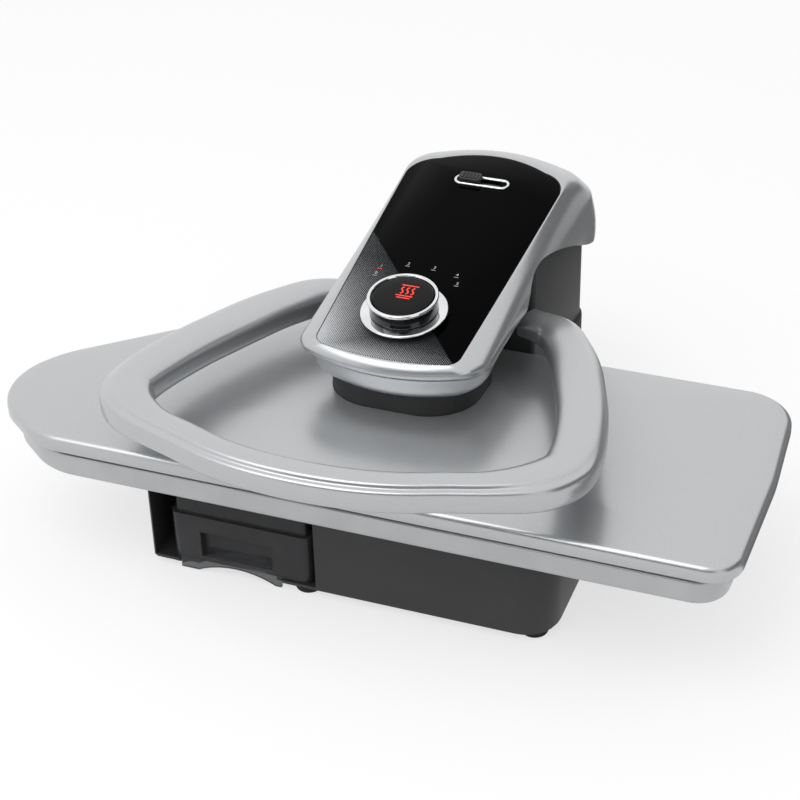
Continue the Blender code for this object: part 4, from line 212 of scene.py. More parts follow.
def add(tree, kind, values=None, stops=()):
    """Add one node, with its properties and sockets set and its sockets linked.

    A value that is an output, or a node for its first output, is linked to its socket. The
    stops are those of a colour ramp, each a place and an sRGB hex value.
    """
    made = tree.nodes.new(kind)
    sockets = {}
    for key, value in (values or {}).items():
        if isinstance(key, str) and hasattr(made, key):
            setattr(made, key, value)
        else:
            sockets[key] = value
    for key, value in sockets.items():
        if isinstance(value, bpy.types.Node):
            value = value.outputs[0]
        if isinstance(value, bpy.types.NodeSocket):
            tree.links.new(value, made.inputs[key])
        else:
            made.inputs[key].default_value = value
    for index, (place, colour) in enumerate(stops):
        made.color_ramp.elements[index].position = place
        made.color_ramp.elements[index].color = tone(colour)
    return made


def blank(name):
    """Material with an empty node tree."""
    material = bpy.data.materials.new(name)
    material.use_nodes = True
    material.node_tree.nodes.clear()
    return material, material.node_tree


def place_of(tree, scale=(1, 1, 1), location=(0, 0, 0)):
    """Object coordinates in metres, moved or stretched by a Mapping node."""
    coords = add(tree, "ShaderNodeTexCoord")
    return add(tree, "ShaderNodeMapping", {
        "Vector": coords.outputs["Object"], "Scale": scale, "Location": location,
    })


def grained(tree, place, size, strength, depth=0.0001, detail=3.0):
    """Bump of a noise whose grains are a size in metres across."""
    grains = add(tree, "ShaderNodeTexNoise", {
        "Vector": place, "Scale": 1 / size, "Detail": detail,
    })
    return add(tree, "ShaderNodeBump", {
        "Height": grains, "Strength": strength, "Distance": depth,
    })


def clouded(tree, place, size, low, high):
    """Colour that drifts between two tones over patches of a size in metres."""
    drift = add(tree, "ShaderNodeTexNoise", {
        "Vector": place, "Scale": 1 / size, "Detail": 2.0,
    })
    return add(tree, "ShaderNodeValToRGB", {"Fac": drift}, ((0.35, low), (0.65, high)))


def plain(name, low, high, patch, values, grain=(), stretch=(1, 1, 1)):
    """Finish whose colour drifts between two tones over patches of a size in metres.

    A grain is its size and strength, and its depth and detail where they are its own.
    """
    material, tree = blank(name)
    place = place_of(tree, stretch)
    looks = {"Base Color": clouded(tree, place, patch, low, high)}
    if grain:
        looks["Normal"] = grained(tree, place, *grain)
    shader = add(tree, "ShaderNodeBsdfPrincipled", {**values, **looks})
    add(tree, "ShaderNodeOutputMaterial", {"Surface": shader})
    return material


def moulded(name, low, high, roughness, grain, strength):
    """Moulded plastic: a spark-eroded tool leaves a fine even grain on it."""
    return plain(
        name, low, high, 0.05, {"Roughness": roughness, "IOR": 1.53}, (grain, strength)
    )


def metal(name, low, high, roughness, grain=0.0004, strength=0.05, stretch=(1, 1, 1)):
    """Bare metal: its colour drifts a little and its grain follows how it was worked."""
    return plain(
        name, low, high, 0.012, {"Metallic": 1.0, "Roughness": roughness},
        (grain, strength), stretch,
    )


def silicone(name, low, high, roughness):
    """Silicone or rubber: matt, and a little powdery."""
    return plain(name, low, high, 0.01, {"Roughness": roughness, "IOR": 1.43}, (0.0008, 0.15))


def silver_lacquer():
    """ABS sprayed with silver lacquer: satin, with metal flakes under a thin clear layer.

    The flakes are 0.05 mm across on the real one and are drawn 0.6 mm across.
    """
    material, tree = blank("silver lacquer on ABS, sprayed")
    flakes = add(tree, "ShaderNodeTexVoronoi", {
        "Vector": place_of(tree), "Scale": 1 / FLAKE_SIZE,
    })
    sparkle = add(tree, "ShaderNodeValToRGB", {"Fac": flakes.outputs["Color"]}, (
        (0.0, "#b9bbbd"), (1.0, "#c1c3c5"),
    ))
    shader = add(tree, "ShaderNodeBsdfPrincipled", {
        "Base Color": sparkle, "Metallic": 0.75, "Roughness": 0.28, "IOR": 1.5,
        "Coat Weight": 0.05, "Coat Roughness": 0.16,
    })
    add(tree, "ShaderNodeOutputMaterial", {"Surface": shader})
    return material


def panel_acrylic():
    """Black acrylic, screen printed with rows of silver dots that thin out across it.

    The dots stand 1.5 mm apart in a diamond lattice, largest along the panel's left edge
    and its near left corner. Left of a slanting line a painted reflection of a soft box lies
    under them as a grey. Places are metres from the middle of the panel's near edge.
    """
    material, tree = blank("black acrylic, screen printed with silver dots")
    front_y, front_z = PANEL_FRONT
    place = place_of(tree, location=(-ARM_X, -front_y, -front_z))
    axes = add(tree, "ShaderNodeSeparateXYZ", {"Vector": place})
    across, back = axes.outputs["X"], axes.outputs["Y"]
    lattice = add(tree, "ShaderNodeMapping", {
        "Vector": place, "Rotation": (0, 0, math.radians(45)),
        "Scale": (1 / DOT_PITCH, 1 / DOT_PITCH, 0),
    })
    cell = add(tree, "ShaderNodeVectorMath", {"operation": "FRACTION", 0: lattice})
    centred = add(tree, "ShaderNodeVectorMath", {
        "operation": "SUBTRACT", 0: cell, 1: (0.5, 0.5, 0.0),
    })
    reach = add(tree, "ShaderNodeVectorMath", {"operation": "LENGTH", 0: centred})
    # size of the dots: falls off from the left edge towards the back, and from the near edge
    # towards the right
    sizes = []
    for first, first_span, second, second_span in (
        (across, (-0.066, -0.008, 0.60, 0.0), back, (0.02, 0.125, 1.0, 0.2)),
        (back, (0.001, 0.030, 0.50, 0.0), across, (-0.05, 0.056, 1.0, 0.45)),
    ):
        falls = [add(tree, "ShaderNodeMapRange", {
            "Value": value, "From Min": start, "From Max": end, "To Min": high, "To Max": low,
        }) for value, (start, end, high, low) in ((first, first_span), (second, second_span))]
        sizes.append(add(tree, "ShaderNodeMath", {
            "operation": "MULTIPLY", 0: falls[0], 1: falls[1],
        }))
    size = add(tree, "ShaderNodeMath", {"operation": "MAXIMUM", 0: sizes[0], 1: sizes[1]})
    # the print ends at a slanting line; left of it lies a painted reflection of a soft box, a
    # grey under the dots that is strongest at the near left and weaker towards the line
    slant = add(tree, "ShaderNodeMath", {
        "operation": "MULTIPLY_ADD", 0: across, 1: 1.19, 2: back,
    })
    left_of_slant, depth = (add(tree, "ShaderNodeMapRange", {
        "Value": slant, "From Min": start, "From Max": end, "To Min": low, "To Max": 1.0,
    }) for start, end, low in ((0.0772, 0.0757, 0.0), (0.0757, -0.05, 0.30)))
    # strength of the painted reflection: grey left of the slant, weaker towards it
    painted_reflection = add(tree, "ShaderNodeMath", {"operation": "MULTIPLY", 0: left_of_slant, 1: depth})
    ground_with_reflection = add(tree, "ShaderNodeMix", {
        "data_type": "RGBA", 0: painted_reflection, 6: tone("#050506"), 7: tone("#424446"),
    })
    size = add(tree, "ShaderNodeMath", {"operation": "MULTIPLY", 0: size, 1: left_of_slant})
    inside = add(tree, "ShaderNodeMath", {
        "operation": "LESS_THAN", 0: reach.outputs["Value"], 1: size,
    })
    colour = add(tree, "ShaderNodeMix", {
        "data_type": "RGBA", 0: inside, 6: ground_with_reflection.outputs[2], 7: tone("#bfc1c3"),
    })
    shader = add(tree, "ShaderNodeBsdfPrincipled", {
        "Base Color": colour.outputs[2],
        "Roughness": 0.06, "IOR": 1.49, "Specular IOR Level": 0.015,
    })
    add(tree, "ShaderNodeOutputMaterial", {"Surface": shader})
    return material


def silver_cloth():
    """Aluminised cotton drill: a plain weave of 0.5 mm threads, drawn 0.9 mm apart."""
    material, tree = blank("aluminised cotton drill, woven")
    place = place_of(tree)
    warp, weft = (add(tree, "ShaderNodeTexWave", {
        "Vector": place, "wave_type": "BANDS", "bands_direction": way,
        "Scale": 1 / THREAD_PITCH / 20 * math.tau,
    }).outputs["Fac"] for way in "XY")
    threads = add(tree, "ShaderNodeMath", {"operation": "MULTIPLY", 0: warp, 1: weft})
    shader = add(tree, "ShaderNodeBsdfPrincipled", {
        "Base Color": clouded(tree, place, 0.04, "#a4a6a8", "#b4b6b8"),
        "Normal": add(tree, "ShaderNodeBump", {
            "Height": threads, "Strength": 0.5, "Distance": 0.0003,
        }),
        "Metallic": 0.35, "Roughness": 0.55, "Sheen Weight": 0.3, "Sheen Roughness": 0.4,
    })
    add(tree, "ShaderNodeOutputMaterial", {"Surface": shader})
    return material


def open_foam():
    """Polyether foam, cut: matt, with cells 1 mm across that show as pits."""
    material, tree = blank("polyether foam, cut")
    place = place_of(tree)
    cells = add(tree, "ShaderNodeTexVoronoi", {"Vector": place, "Scale": 1 / CELL_SIZE})
    shader = add(tree, "ShaderNodeBsdfPrincipled", {
        "Base Color": clouded(tree, place, 0.02, "#c9c4ae", "#d6d1bc"),
        "Normal": add(tree, "ShaderNodeBump", {
            "Height": cells, "Strength": 0.8, "Distance": 0.0005,
        }),
        "Roughness": 0.95,
    })
    add(tree, "ShaderNodeOutputMaterial", {"Surface": shader})
    return material


def solder_mask():
    """Glass epoxy board with green solder mask: gloss, with copper lands under it."""
    material, tree = blank("glass epoxy board, green solder mask")
    lands = add(tree, "ShaderNodeTexBrick", {
        "Vector": place_of(tree), "Scale": 1.0, "Brick Width": 0.011, "Row Height": 0.0035,
        "Mortar Size": 0.0005, "Color1": tone("#1d5a34"), "Color2": tone("#23683c"),
        "Mortar": tone("#123d23"),
    })
    shader = add(tree, "ShaderNodeBsdfPrincipled", {
        "Base Color": lands.outputs["Color"], "Roughness": 0.25, "Coat Weight": 0.4,
    })
    add(tree, "ShaderNodeOutputMaterial", {"Surface": shader})
    return material


def make_materials():
    """All finishes, by the record's slot or a name of their own."""
    return {
        # sprayed over smooth mouldings: satin with a fine sparkle, no grain of its own
        "silver_paint": silver_lacquer(),
        # stove enamel on deep-drawn sheet flows out as it bakes: even satin, barely pebbled
        "board_paint": plain(
            "silver stove enamel on sheet steel", "#b6b8ba", "#bcbec0", 0.03,
            {"Metallic": 0.65, "Roughness": 0.3, "IOR": 1.5,
             "Coat Weight": 0.1, "Coat Roughness": 0.15}, (0.0012, 0.04, 0.00005),
        ),
        # moulded in an eroded tool: an even matt grain about 1 mm from pit to pit
        "grey_plastic": moulded(
            "dark grey ABS, spark-eroded grain", "#434445", "#48494a", 0.5, 0.0011, 0.05
        ),
        # the same tool finish on a darker resin: matt, with soft broad reflections
        "dark_plastic": moulded(
            "charcoal ABS, spark-eroded grain", "#272728", "#2b2b2c", 0.5, 0.0011, 0.06
        ),
        # glass fibres near the skin leave it dull and a little uneven
        "neck": moulded(
            "black glass-filled nylon, moulded", "#161617", "#1b1b1c", 0.5, 0.0009, 0.06
        ),
        # cast sheet, printed from behind: flat and glossy, the dots under its surface, and a
        # painted reflection of a soft box as a grey at its left
        "panel": panel_acrylic(),
        # polished tool: a deep clean mirror that shows every reflection
        "black_gloss": plain(
            "piano black ABS, polished tool", "#0c0c0d", "#111112", 0.05,
            {"Roughness": 0.07, "IOR": 1.53, "Specular IOR Level": 0.12}, (0.02, 0.01, 0.00005),
        ),
        # grey flakes under clear gloss: dark, with long bright reflections round the side
        "dial_paint": plain(
            "grey metallic lacquer, clear coated", "#161719", "#1d1e20", 0.02,
            {"Metallic": 0.3, "Roughness": 0.14, "Coat Weight": 0.3, "Coat Roughness": 0.04},
        ),
        # moulded clear and tinted: dark where two walls lie behind each other
        "smoke_plastic": plain(
            "smoke tinted polycarbonate, moulded", "#76777a", "#808184", 0.06,
            {"Roughness": 0.06, "IOR": 1.3, "Transmission Weight": 0.8},
        ),
        # plated over polished ABS: a hard, faintly cold mirror with waves of the moulding
        "chrome": plain(
            "chromium plate on ABS", "#e2e4e6", "#eceef0", 0.03,
            {"Metallic": 1.0, "Roughness": 0.06}, (0.01, 0.01, 0.00003),
        ),
        # zinc over rolled steel: cool grey, half bright, with a fine spangle
        "steel": metal("zinc plated steel, bright", "#a4a6a8", "#b4b6b9", 0.34),
        # cast, then ground in one direction: short fine lines across the face
        "aluminium": metal(
            "aluminium, die cast and ground", "#bfc1c4", "#cdcfd2", 0.3, 0.0005, 0.12, (1, 12, 1)
        ),
        # turned on a lathe: warm, with fine rings from the tool
        "brass": metal("brass, machined", "#b18b45", "#c29a50", 0.28, 0.0004, 0.05, (8, 1, 1)),
        # unpigmented resin: cream and half matt
        "nylon": moulded("natural nylon, moulded", "#d8d4c6", "#e2ded1", 0.4, 0.002, 0.03),
        # cured in a plain mould: dull black, a little dusty
        "rubber": silicone("black rubber, moulded", "#171717", "#1f1f1f", 0.75),
        # pulled through a die: smooth along its length, faintly milky
        "hose": silicone("silicone hose, extruded", "#bdb8b0", "#cbc6be", 0.45),
        # slit from a block: cut cells open as pits all over it
        "foam": open_foam(),
        # woven, then coated: the weave's small squares show through a silver film
        "silver_cloth": silver_cloth(),
        # cream fibres needled into a mat: matt and fuzzy
        "glass_wool": plain(
            "glass fibre mat, needled", "#d9d3bd", "#ebe6d3", 0.006, {"Roughness": 0.95},
            (0.002, 0.6, 0.0004, 6.0), (1, 6, 1),
        ),
        # etched copper under a dipped mask: raised rows beneath one green gloss
        "circuit_board": solder_mask(),
        # squeezed through a screen: a flat film with crisp edges
        "ink": plain(
            "pale grey screen ink", "#9b9da0", "#b9bbbe", 0.004, {"Roughness": 0.45}
        ),
        # the same film let light through: even red, brighter than its surroundings
        "lit_ink": plain(
            "red ink over a lamp", "#b3241a", "#e8392b", 0.004,
            {"Roughness": 0.45, "Emission Color": tone("#e8392b"), "Emission Strength": 0.9},
        ),
    }


# ---------------------------------------------------------------- shaping and placing


def plate_outline(corners, segments):
    """Outline of a flat face whose corners, each x, y and radius, a bevel has rounded."""
    bm = bmesh.new()
    spots = [bm.verts.new((x, y, 0)) for x, y, radius in corners]
    bm.faces.new(spots)
    count = len(corners)
    for index, (spot, (x, y, radius)) in enumerate(zip(spots, corners)):
        here = Vector((x, y))
        before = Vector(corners[index - 1][:2]) - here
        after = Vector(corners[(index + 1) % count][:2]) - here
        bend = math.pi - before.angle(after)
        # a corner of less than about a degree needs no round
        if radius > 0 and bend > 0.02:
            bmesh.ops.bevel(
                bm, geom=[spot], offset=radius * math.tan(bend / 2), offset_type="OFFSET",
                segments=max(3, round(segments * bend / (math.pi / 2))), profile=0.5,
                material=-1, affect="VERTICES",
            )
    bm.faces.ensure_lookup_table()
    outline = [(vert.co.x, vert.co.y) for vert in bm.faces[0].verts]
    bm.free()
    return outline


def inset(outline, amount):
    """Move a counter-clockwise outline inwards."""
    if not amount:
        return outline
    moved = []
    count = len(outline)
    for index, spot in enumerate(outline):
        here = Vector(spot)
        back = (here - Vector(outline[index - 1])).normalized()
        ahead = (Vector(outline[(index + 1) % count]) - here).normalized()
        inward = Vector((-(back.y + ahead.y), back.x + ahead.x))
        inward *= 2 / max(inward.length_squared, 0.5)
        moved.append(tuple(here + inward * amount))
    return moved


def fitted(outline, low, high):
    """Stretch an outline to fill a box in plan."""
    xs = [x for x, y in outline]
    ys = [y for x, y in outline]
    return [
        (
            low.x + (x - min(xs)) * (high.x - low.x) / (max(xs) - min(xs)),
            low.y + (y - min(ys)) * (high.y - low.y) / (max(ys) - min(ys)),
        )
        for x, y in outline
    ]


def board_outline(node, segments):
    """Outline of the board that fills a node's box in plan."""
    low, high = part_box(node)
    half_x = (high.x - low.x) / 2
    half_y = (high.y - low.y) / 2
    corners = [(x * half_x, y * half_y, r * half_y) for x, y, r in BOARD_CORNERS]
    return fitted(plate_outline(corners, segments), low, high)


def scaled(outline, share):
    """Scale an outline about the board's middle."""
    return [(x * share, BOARD_Y + (y - BOARD_Y) * share) for x, y in outline]


def at(outline, height):
    """An outline laid at a height."""
    return [(x, y, height) for x, y in outline]


def stack(outline, profile):
    """Rings of an outline: each row of the profile is an inset and a height."""
    return [at(inset(outline, amount), height) for amount, height in profile]


def quarter(steps):
    """Angles of a quarter turn, from none."""
    return [math.pi / 2 * step / steps for step in range(steps + 1)]


def round_box(low, high, radius, segments=8, grow=0.0):
    """Outline of a rectangle with round corners, grown on every side."""
    left, near, right, far = low[0] - grow, low[1] - grow, high[0] + grow, high[1] + grow
    corners = (left, near), (right, near), (right, far), (left, far)
    return plate_outline([(x, y, radius) for x, y in corners], segments)


def stadium(length, width):
    """Outline of a slot with round ends."""
    half = length / 2, width / 2
    return round_box((-half[0], -half[1]), half, half[1] * 0.999, 12)


def loft(rings, closed=False, bm=None):
    """Skin from ring to ring, each extruded from the one before, with flat or no ends."""
    if bm is None:
        bm = bmesh.new()
    spots = [bm.verts.new(place) for place in rings[0]]
    edges = [bm.edges.new(pair) for pair in zip(spots, spots[1:] + spots[:1])]
    if not closed:
        bm.faces.new(spots)
    for ring in rings[1:] + (rings[:1] if closed else []):
        made = bmesh.ops.extrude_edge_only(bm, edges=edges)["geom"]
        twins = {tuple(v.co): v for v in made if isinstance(v, bmesh.types.BMVert)}
        spots = [twins[tuple(spot.co)] for spot in spots]
        for spot, place in zip(spots, ring):
            spot.co = place
        edges = [bm.edges.get(pair) for pair in zip(spots, spots[1:] + spots[:1])]
    if closed:
        bmesh.ops.remove_doubles(bm, verts=bm.verts, dist=1e-7)
    else:
        bm.faces.new(spots)
    bmesh.ops.recalc_face_normals(bm, faces=bm.faces)
    if bm.calc_volume(signed=True) < 0:
        bmesh.ops.reverse_faces(bm, faces=bm.faces)
    return bm


def turned(profile, steps):
    """Spin a profile of radius and height about Z."""
    bm = bmesh.new()
    spots = [bm.verts.new((radius, 0, height)) for radius, height in profile]
    edges = [bm.edges.new(pair) for pair in zip(spots, spots[1:])]
    if profile[0][0] > 0 or profile[-1][0] > 0:
        edges.append(bm.edges.new((spots[-1], spots[0])))
    bmesh.ops.spin(
        bm, geom=spots + edges, cent=(0, 0, 0), axis=(0, 0, 1), angle=math.tau,
        steps=steps, use_merge=True, use_duplicate=False,
    )
    bmesh.ops.remove_doubles(bm, verts=bm.verts, dist=1e-7)
    bmesh.ops.recalc_face_normals(bm, faces=bm.faces)
    return bm


def rod(radius, length, matrix, segments):
    """Plain cylinder along the Z of a matrix, to cut a bore."""
    bm = bmesh.new()
    bmesh.ops.create_cone(
        bm, cap_ends=True, segments=segments, radius1=radius, radius2=radius, depth=length,
        matrix=matrix,
    )
    return bm


def soften(bm, width, segments=2, angle=30):
    """Round every edge that is sharper than an angle."""
    sharp = [
        edge for edge in bm.edges
        if len(edge.link_faces) == 2 and edge.calc_face_angle(0) > math.radians(angle)
    ]
    bmesh.ops.bevel(
        bm, geom=sharp, offset=width, offset_type="OFFSET", segments=segments,
        profile=0.5, material=-1, affect="EDGES", clamp_overlap=True,
    )


def link(name, data):
    """Object of a mesh, a text, a lamp or a camera, in the scene."""
    item = bpy.data.objects.new(name, data)
    bpy.context.scene.collection.objects.link(item)
    return item


def object_of(name, bm):
    """Object of a bmesh, which it uses up."""
    mesh = bpy.data.meshes.new(name)
    bm.to_mesh(mesh)
    bm.free()
    return link(name, mesh)


def settle(item, finish, body, stands_for=(), angle=35):
    """Give an object its finish and smooth shading, and let it ride on its body."""
    mesh = item.data
    mesh.materials.clear()
    mesh.materials.append(finishes()[finish])
    mesh.polygons.foreach_set("use_smooth", [True] * len(mesh.polygons))
    mesh.set_sharp_from_angle(angle=math.radians(angle))
    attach(item, body)
    if stands_for:
        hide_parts(*stands_for)
    return item


def piece(name, bm, finish, nodes, angle=40):
    """Finished piece that stands for CAD nodes and takes its body from the first."""
    return settle(
        object_of(name, bm), finish, BODY_OF[nodes[0]], nodes, angle
    )


def carve(item, name, bm, operation="DIFFERENCE"):
    """Cut an object with a form, or keep what they share."""
    tool = object_of(name, bm)
    step = item.modifiers.new("carve", "BOOLEAN")
    step.object = tool
    step.operation = operation
    step.solver = "EXACT"
    graph = bpy.context.evaluated_depsgraph_get()
    graph.update()
    result = bpy.data.meshes.new_from_object(item.evaluated_get(graph))
    if not result.polygons:
        raise RuntimeError(f"nothing is left of {item.name} after {tool.name}")
    item.modifiers.clear()
    item.data = result
    bpy.data.objects.remove(tool)


def soft_copy(node, finish, width, segments=2, angle=40):
    """Copy of a CAD node with its edges rounded, which then stands for the node."""
    bm = bmesh.new()
    bm.from_mesh(frame["nodes"][node].data)
    bmesh.ops.remove_doubles(bm, verts=bm.verts, dist=1e-6)
    bmesh.ops.dissolve_limit(
        bm, angle_limit=math.radians(0.6), verts=bm.verts, edges=bm.edges
    )
    soften(bm, width, segments)
    return piece(node + "_look", bm, finish, (node,), angle)


def neck_outline(grow, segments):
    """Outline of the sleeve between head and shoe, grown by a clearance."""
    low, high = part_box("neck_collar")
    return round_box(low, high, NECK_ROUND, segments, grow)


def on_panel(back, across=0.0):
    """Matrix that stands on the sloping panel, its Z square to it."""
    front_y, front_z = PANEL_FRONT
    foot = Vector((ARM_X + across, front_y + back, front_z + back * math.tan(SLOPE)))
    return Matrix.Translation(foot) @ Matrix.Rotation(SLOPE, 4, "X")


def head_outline(front, back, halves, radii, bow, nose):
    """Plan of the head: bowed front and back, slanting sides and round corners."""
    half_front, half_middle, half_back = halves
    radius_front, radius_back = radii
    turn = math.radians(75)
    # the bow of the front is no steeper than this at its corners, and this share of it
    # stands out before the front
    steepest, pushed = 0.29, 0.3
    corner_y = back - bow - radius_back * math.sin(turn)
    nose = min(nose, steepest * (half_front - radius_front))
    lean = math.atan(2 * nose / (half_front - radius_front))
    flat = half_front - radius_front * (1 - math.sin(lean))
    front -= nose * pushed
    centre_y = front + nose + radius_front * math.cos(lean)
    side = [(flat * step / 8, front + nose * (step / 8) ** 2) for step in range(8)]
    for step in range(15):
        angle = lean + (math.pi / 2 - lean) * step / 14
        side.append((
            half_front - radius_front * (1 - math.sin(angle)),
            centre_y - radius_front * math.cos(angle),
        ))
    belly = half_middle - (half_front + half_back) / 2
    for step in range(1, 25):
        share = step / 24
        across = half_front + (half_back - half_front) * share + belly * 4 * share * (1 - share)
        side.append((across, centre_y + (corner_y - centre_y) * share))
    for step in range(1, 15):
        angle = turn * step / 14
        side.append((
            half_back - radius_back * (1 - math.cos(angle)),
            corner_y + radius_back * math.sin(angle),
        ))
    edge = side[-1][0]
    for step in range(1, 10):
        share = 1 - step / 10
        side.append((edge * share, back - bow * share * share))
    left = [(-x, y) for x, y in reversed(side[1:])]
    return [(ARM_X + x, y) for x, y in side + [(0, back)] + left]


def sloped(outline, drop_front, drop_back):
    """Lay an outline on the panel's slope, dropping more towards its back."""
    front = min(y for x, y in outline)
    back = max(y for x, y in outline)
    front_y, front_z = PANEL_FRONT
    ring = []
    for x, y in outline:
        share = (y - front) / (back - front)
        ease = share * share * (3 - 2 * share)
        height = front_z + (y - front_y) * math.tan(SLOPE)
        ring.append((x, y, height - drop_front - (drop_back - drop_front) * ease))
    return ring


def between(rows, steps):
    """Rows of numbers with more rows set between them on a smooth curve."""
    dense = []
    for index in range(len(rows) - 1):
        before = rows[max(index - 1, 0)]
        start, end = rows[index], rows[index + 1]
        after = rows[min(index + 2, len(rows) - 1)]
        for step in range(steps):
            t = step / steps
            dense.append(tuple(
                0.5 * (
                    2 * b + (c - a) * t + (2 * a - 5 * b + 4 * c - d) * t * t
                    + (3 * b - a - 3 * c + d) * t ** 3
                )
                for a, b, c, d in zip(before, start, end, after)
            ))
    return dense + [tuple(rows[-1])]


def head_form(wall=0.0, recess=()):
    """Outer skin of the head with the panel's recess, or the room inside its wall."""
    rings = [sloped(recess, drop, drop) for drop in (RECESS_DEPTH, 0.0)] if recess else []
    rows = between(HEAD_RINGS[:4], 3)[:-1] + between(HEAD_RINGS[3:], 3)
    last = len(rows) - 1
    nose_top, nose_growth = 0.006, 0.018
    sink_top, sink_loss = 0.0066, 0.0099
    for index, shares in enumerate(rows):
        front, back, *halves = shares[:5]
        outline = head_outline(
            HEAD_FRONT + front * HEAD_LENGTH + wall,
            HEAD_BACK - back * HEAD_LENGTH - wall,
            [share * HEAD_HALF - wall for share in halves],
            [share * HEAD_HALF - wall for share in shares[7:9]],
            shares[9] * HEAD_HALF,
            nose_top + nose_growth * index / last,
        )
        sink = (sink_top - sink_loss * index / last) if wall else 0.0
        rings.append(sloped(outline, shares[5] * HEAD_DROP + sink, shares[6] * HEAD_DROP + sink))
    return loft(rings)


# ---------------------------------------------------------------- sizes and colours


class PressSettings(bpy.types.PropertyGroup):
    """Sizes and colours that a user would change."""

    rim_round: bpy.props.FloatProperty(
        name="Rim round", description="Radius of the shoe's upper edge",
        default=0.0068, min=0.001, max=0.007, unit="LENGTH",
    )
    crown: bpy.props.FloatProperty(
        name="Crown", description="How far the shoe's top rises over its rim",
        default=0.0083, min=0.0, max=0.012, unit="LENGTH",
    )
    panel_edge: bpy.props.FloatProperty(
        name="Panel edge", description="Bevel round the black panel",
        default=0.0005, min=0.0001, max=0.001, unit="LENGTH",
    )
    dial_steps: bpy.props.IntProperty(
        name="Dial steps", description="Steps round the dial's turned pieces",
        default=128, min=48, max=256,
    )
    handle_rows: bpy.props.IntProperty(
        name="Handle rows", description="Sections along the loop handle",
        default=150, min=60, max=300,
    )
    backdrop: bpy.props.FloatVectorProperty(
        name="Backdrop", description="Colour of the floor and of what stands behind",
        default=tone("#ffffff")[:3], subtype="COLOR", size=3, min=0.0, max=1.0,
    )


FINISHES = {}


def finishes():
    """The materials, made once."""
    if not FINISHES:
        FINISHES.update(make_materials())
    return FINISHES


# ---------------------------------------------------------------- operators


class PRESS_OT_shoe(bpy.types.Operator):
    """Silver cover of the pressing shoe, with its rounded rim and low crown"""

    bl_idname = "press.shoe"
    bl_label = "Shoe cover"

    def execute(self, context):
        settings = context.scene.press
        low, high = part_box("shoe_cover")
        outline = board_outline("shoe_cover", 14)
        wall, lip, soft, draw = 0.0028, 0.0020, 0.0006, 0.0001
        shoulder, crown_foot = 0.0040, 0.0003
        radius = settings.rim_round
        top = high.z - settings.crown
        profile = [
            (wall, top - wall), (wall, low.z + 2 * soft), (wall - soft, low.z), (lip, low.z),
            (soft, low.z + soft), (0.0, low.z + lip), (draw, top - radius - 0.001),
        ]
        for angle in quarter(8):
            profile.append((
                radius * (1 - math.cos(angle)) * 0.9 + draw,
                top - radius + radius * math.sin(angle) * 0.92,
            ))
        profile.append((radius + 0.0015, top - radius * 0.03))
        profile.append((radius + shoulder, top + crown_foot))
        rings = stack(outline, profile)
        start = inset(outline, radius + shoulder)
        for step in range(1, 15):
            share = 1 - step / 15
            rise = (high.z - top) * (1 - share ** 2.2)
            rings.append(at(scaled(start, share), top + crown_foot + rise * 0.96))
        shoe = object_of("shoe_skin", loft(rings))
        hole = neck_outline(NECK_GAP, 20)
        carve(shoe, "neck_hole", loft([at(hole, low.z + 0.006), at(hole, high.z + 0.02)]))
        settle(shoe, "silver_paint", "arm", ("shoe_cover",), 32)
        return {"FINISHED"}


class PRESS_OT_pan(bpy.types.Operator):
    """Painted steel pan of the lower board, with its rolled lip"""

    bl_idname = "press.pan"
    bl_label = "Board pan"

    def execute(self, context):
        low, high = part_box("board_pan")
        wall, heel = 0.0025, 0.0045
        roll_in, roll_down = 0.0019, 0.0022
        profile = [(wall, low.z + wall), (wall, high.z - 0.0004), (wall - 0.0005, high.z)]
        for angle in quarter(4):
            profile.append((
                roll_in * (1 - math.sin(angle)), high.z - roll_down * (1 - math.cos(angle)),
            ))
        for angle in quarter(6):
            profile.append((
                heel * (1 - math.cos(angle)), low.z + heel - heel * math.sin(angle),
            ))
        rings = stack(board_outline("board_pan", 14), profile)
        piece("board_pan_look", loft(rings), "board_paint", ("board_pan",), 35)
        return {"FINISHED"}


class PRESS_OT_pad(bpy.types.Operator):
    """Padded board: aluminised cloth drawn over foam, tucked in round its edge"""

    bl_idname = "press.pad"
    bl_label = "Board pad"

    def execute(self, context):
        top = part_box("pad_cover")[1].z
        foam_low, foam_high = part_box("foam_pad")
        outline = board_outline("pad_cover", 12)
        profile = [
            (0.0030, foam_low.z + 0.0004), (0.0008, foam_low.z + 0.004),
            (0.0004, foam_high.z - 0.001),
        ]
        roll_in, roll_up, roll_foot, crown = 0.0070, 0.0036, 0.0052, 0.0015
        for angle in quarter(8):
            profile.append((
                0.0005 + roll_in * (1 - math.cos(angle)),
                top - roll_foot + roll_up * math.sin(angle),
            ))
        rings = [at(scaled(outline, 0.97), foam_low.z + 0.0002)] + stack(outline, profile)
        start = inset(outline, 0.0075)
        for step in range(1, 22):
            share = 1 - step / 22
            rings.append(at(scaled(start, share), top - 0.0016 + crown * (1 - share ** 3)))
        bm = loft(rings)
        # dimples about 30 mm and 11 mm across
        for vert in bm.verts:
            if vert.co.z > foam_high.z + 0.001:
                dimple = noise.noise(vert.co * 34) + 0.5 * noise.noise(vert.co * 90)
                vert.co.z -= 0.0006 * max(0.0, dimple)
        pad = piece("board_pad", bm, "silver_cloth", ("pad_cover", "foam_pad"), 50)
        return {"FINISHED"}


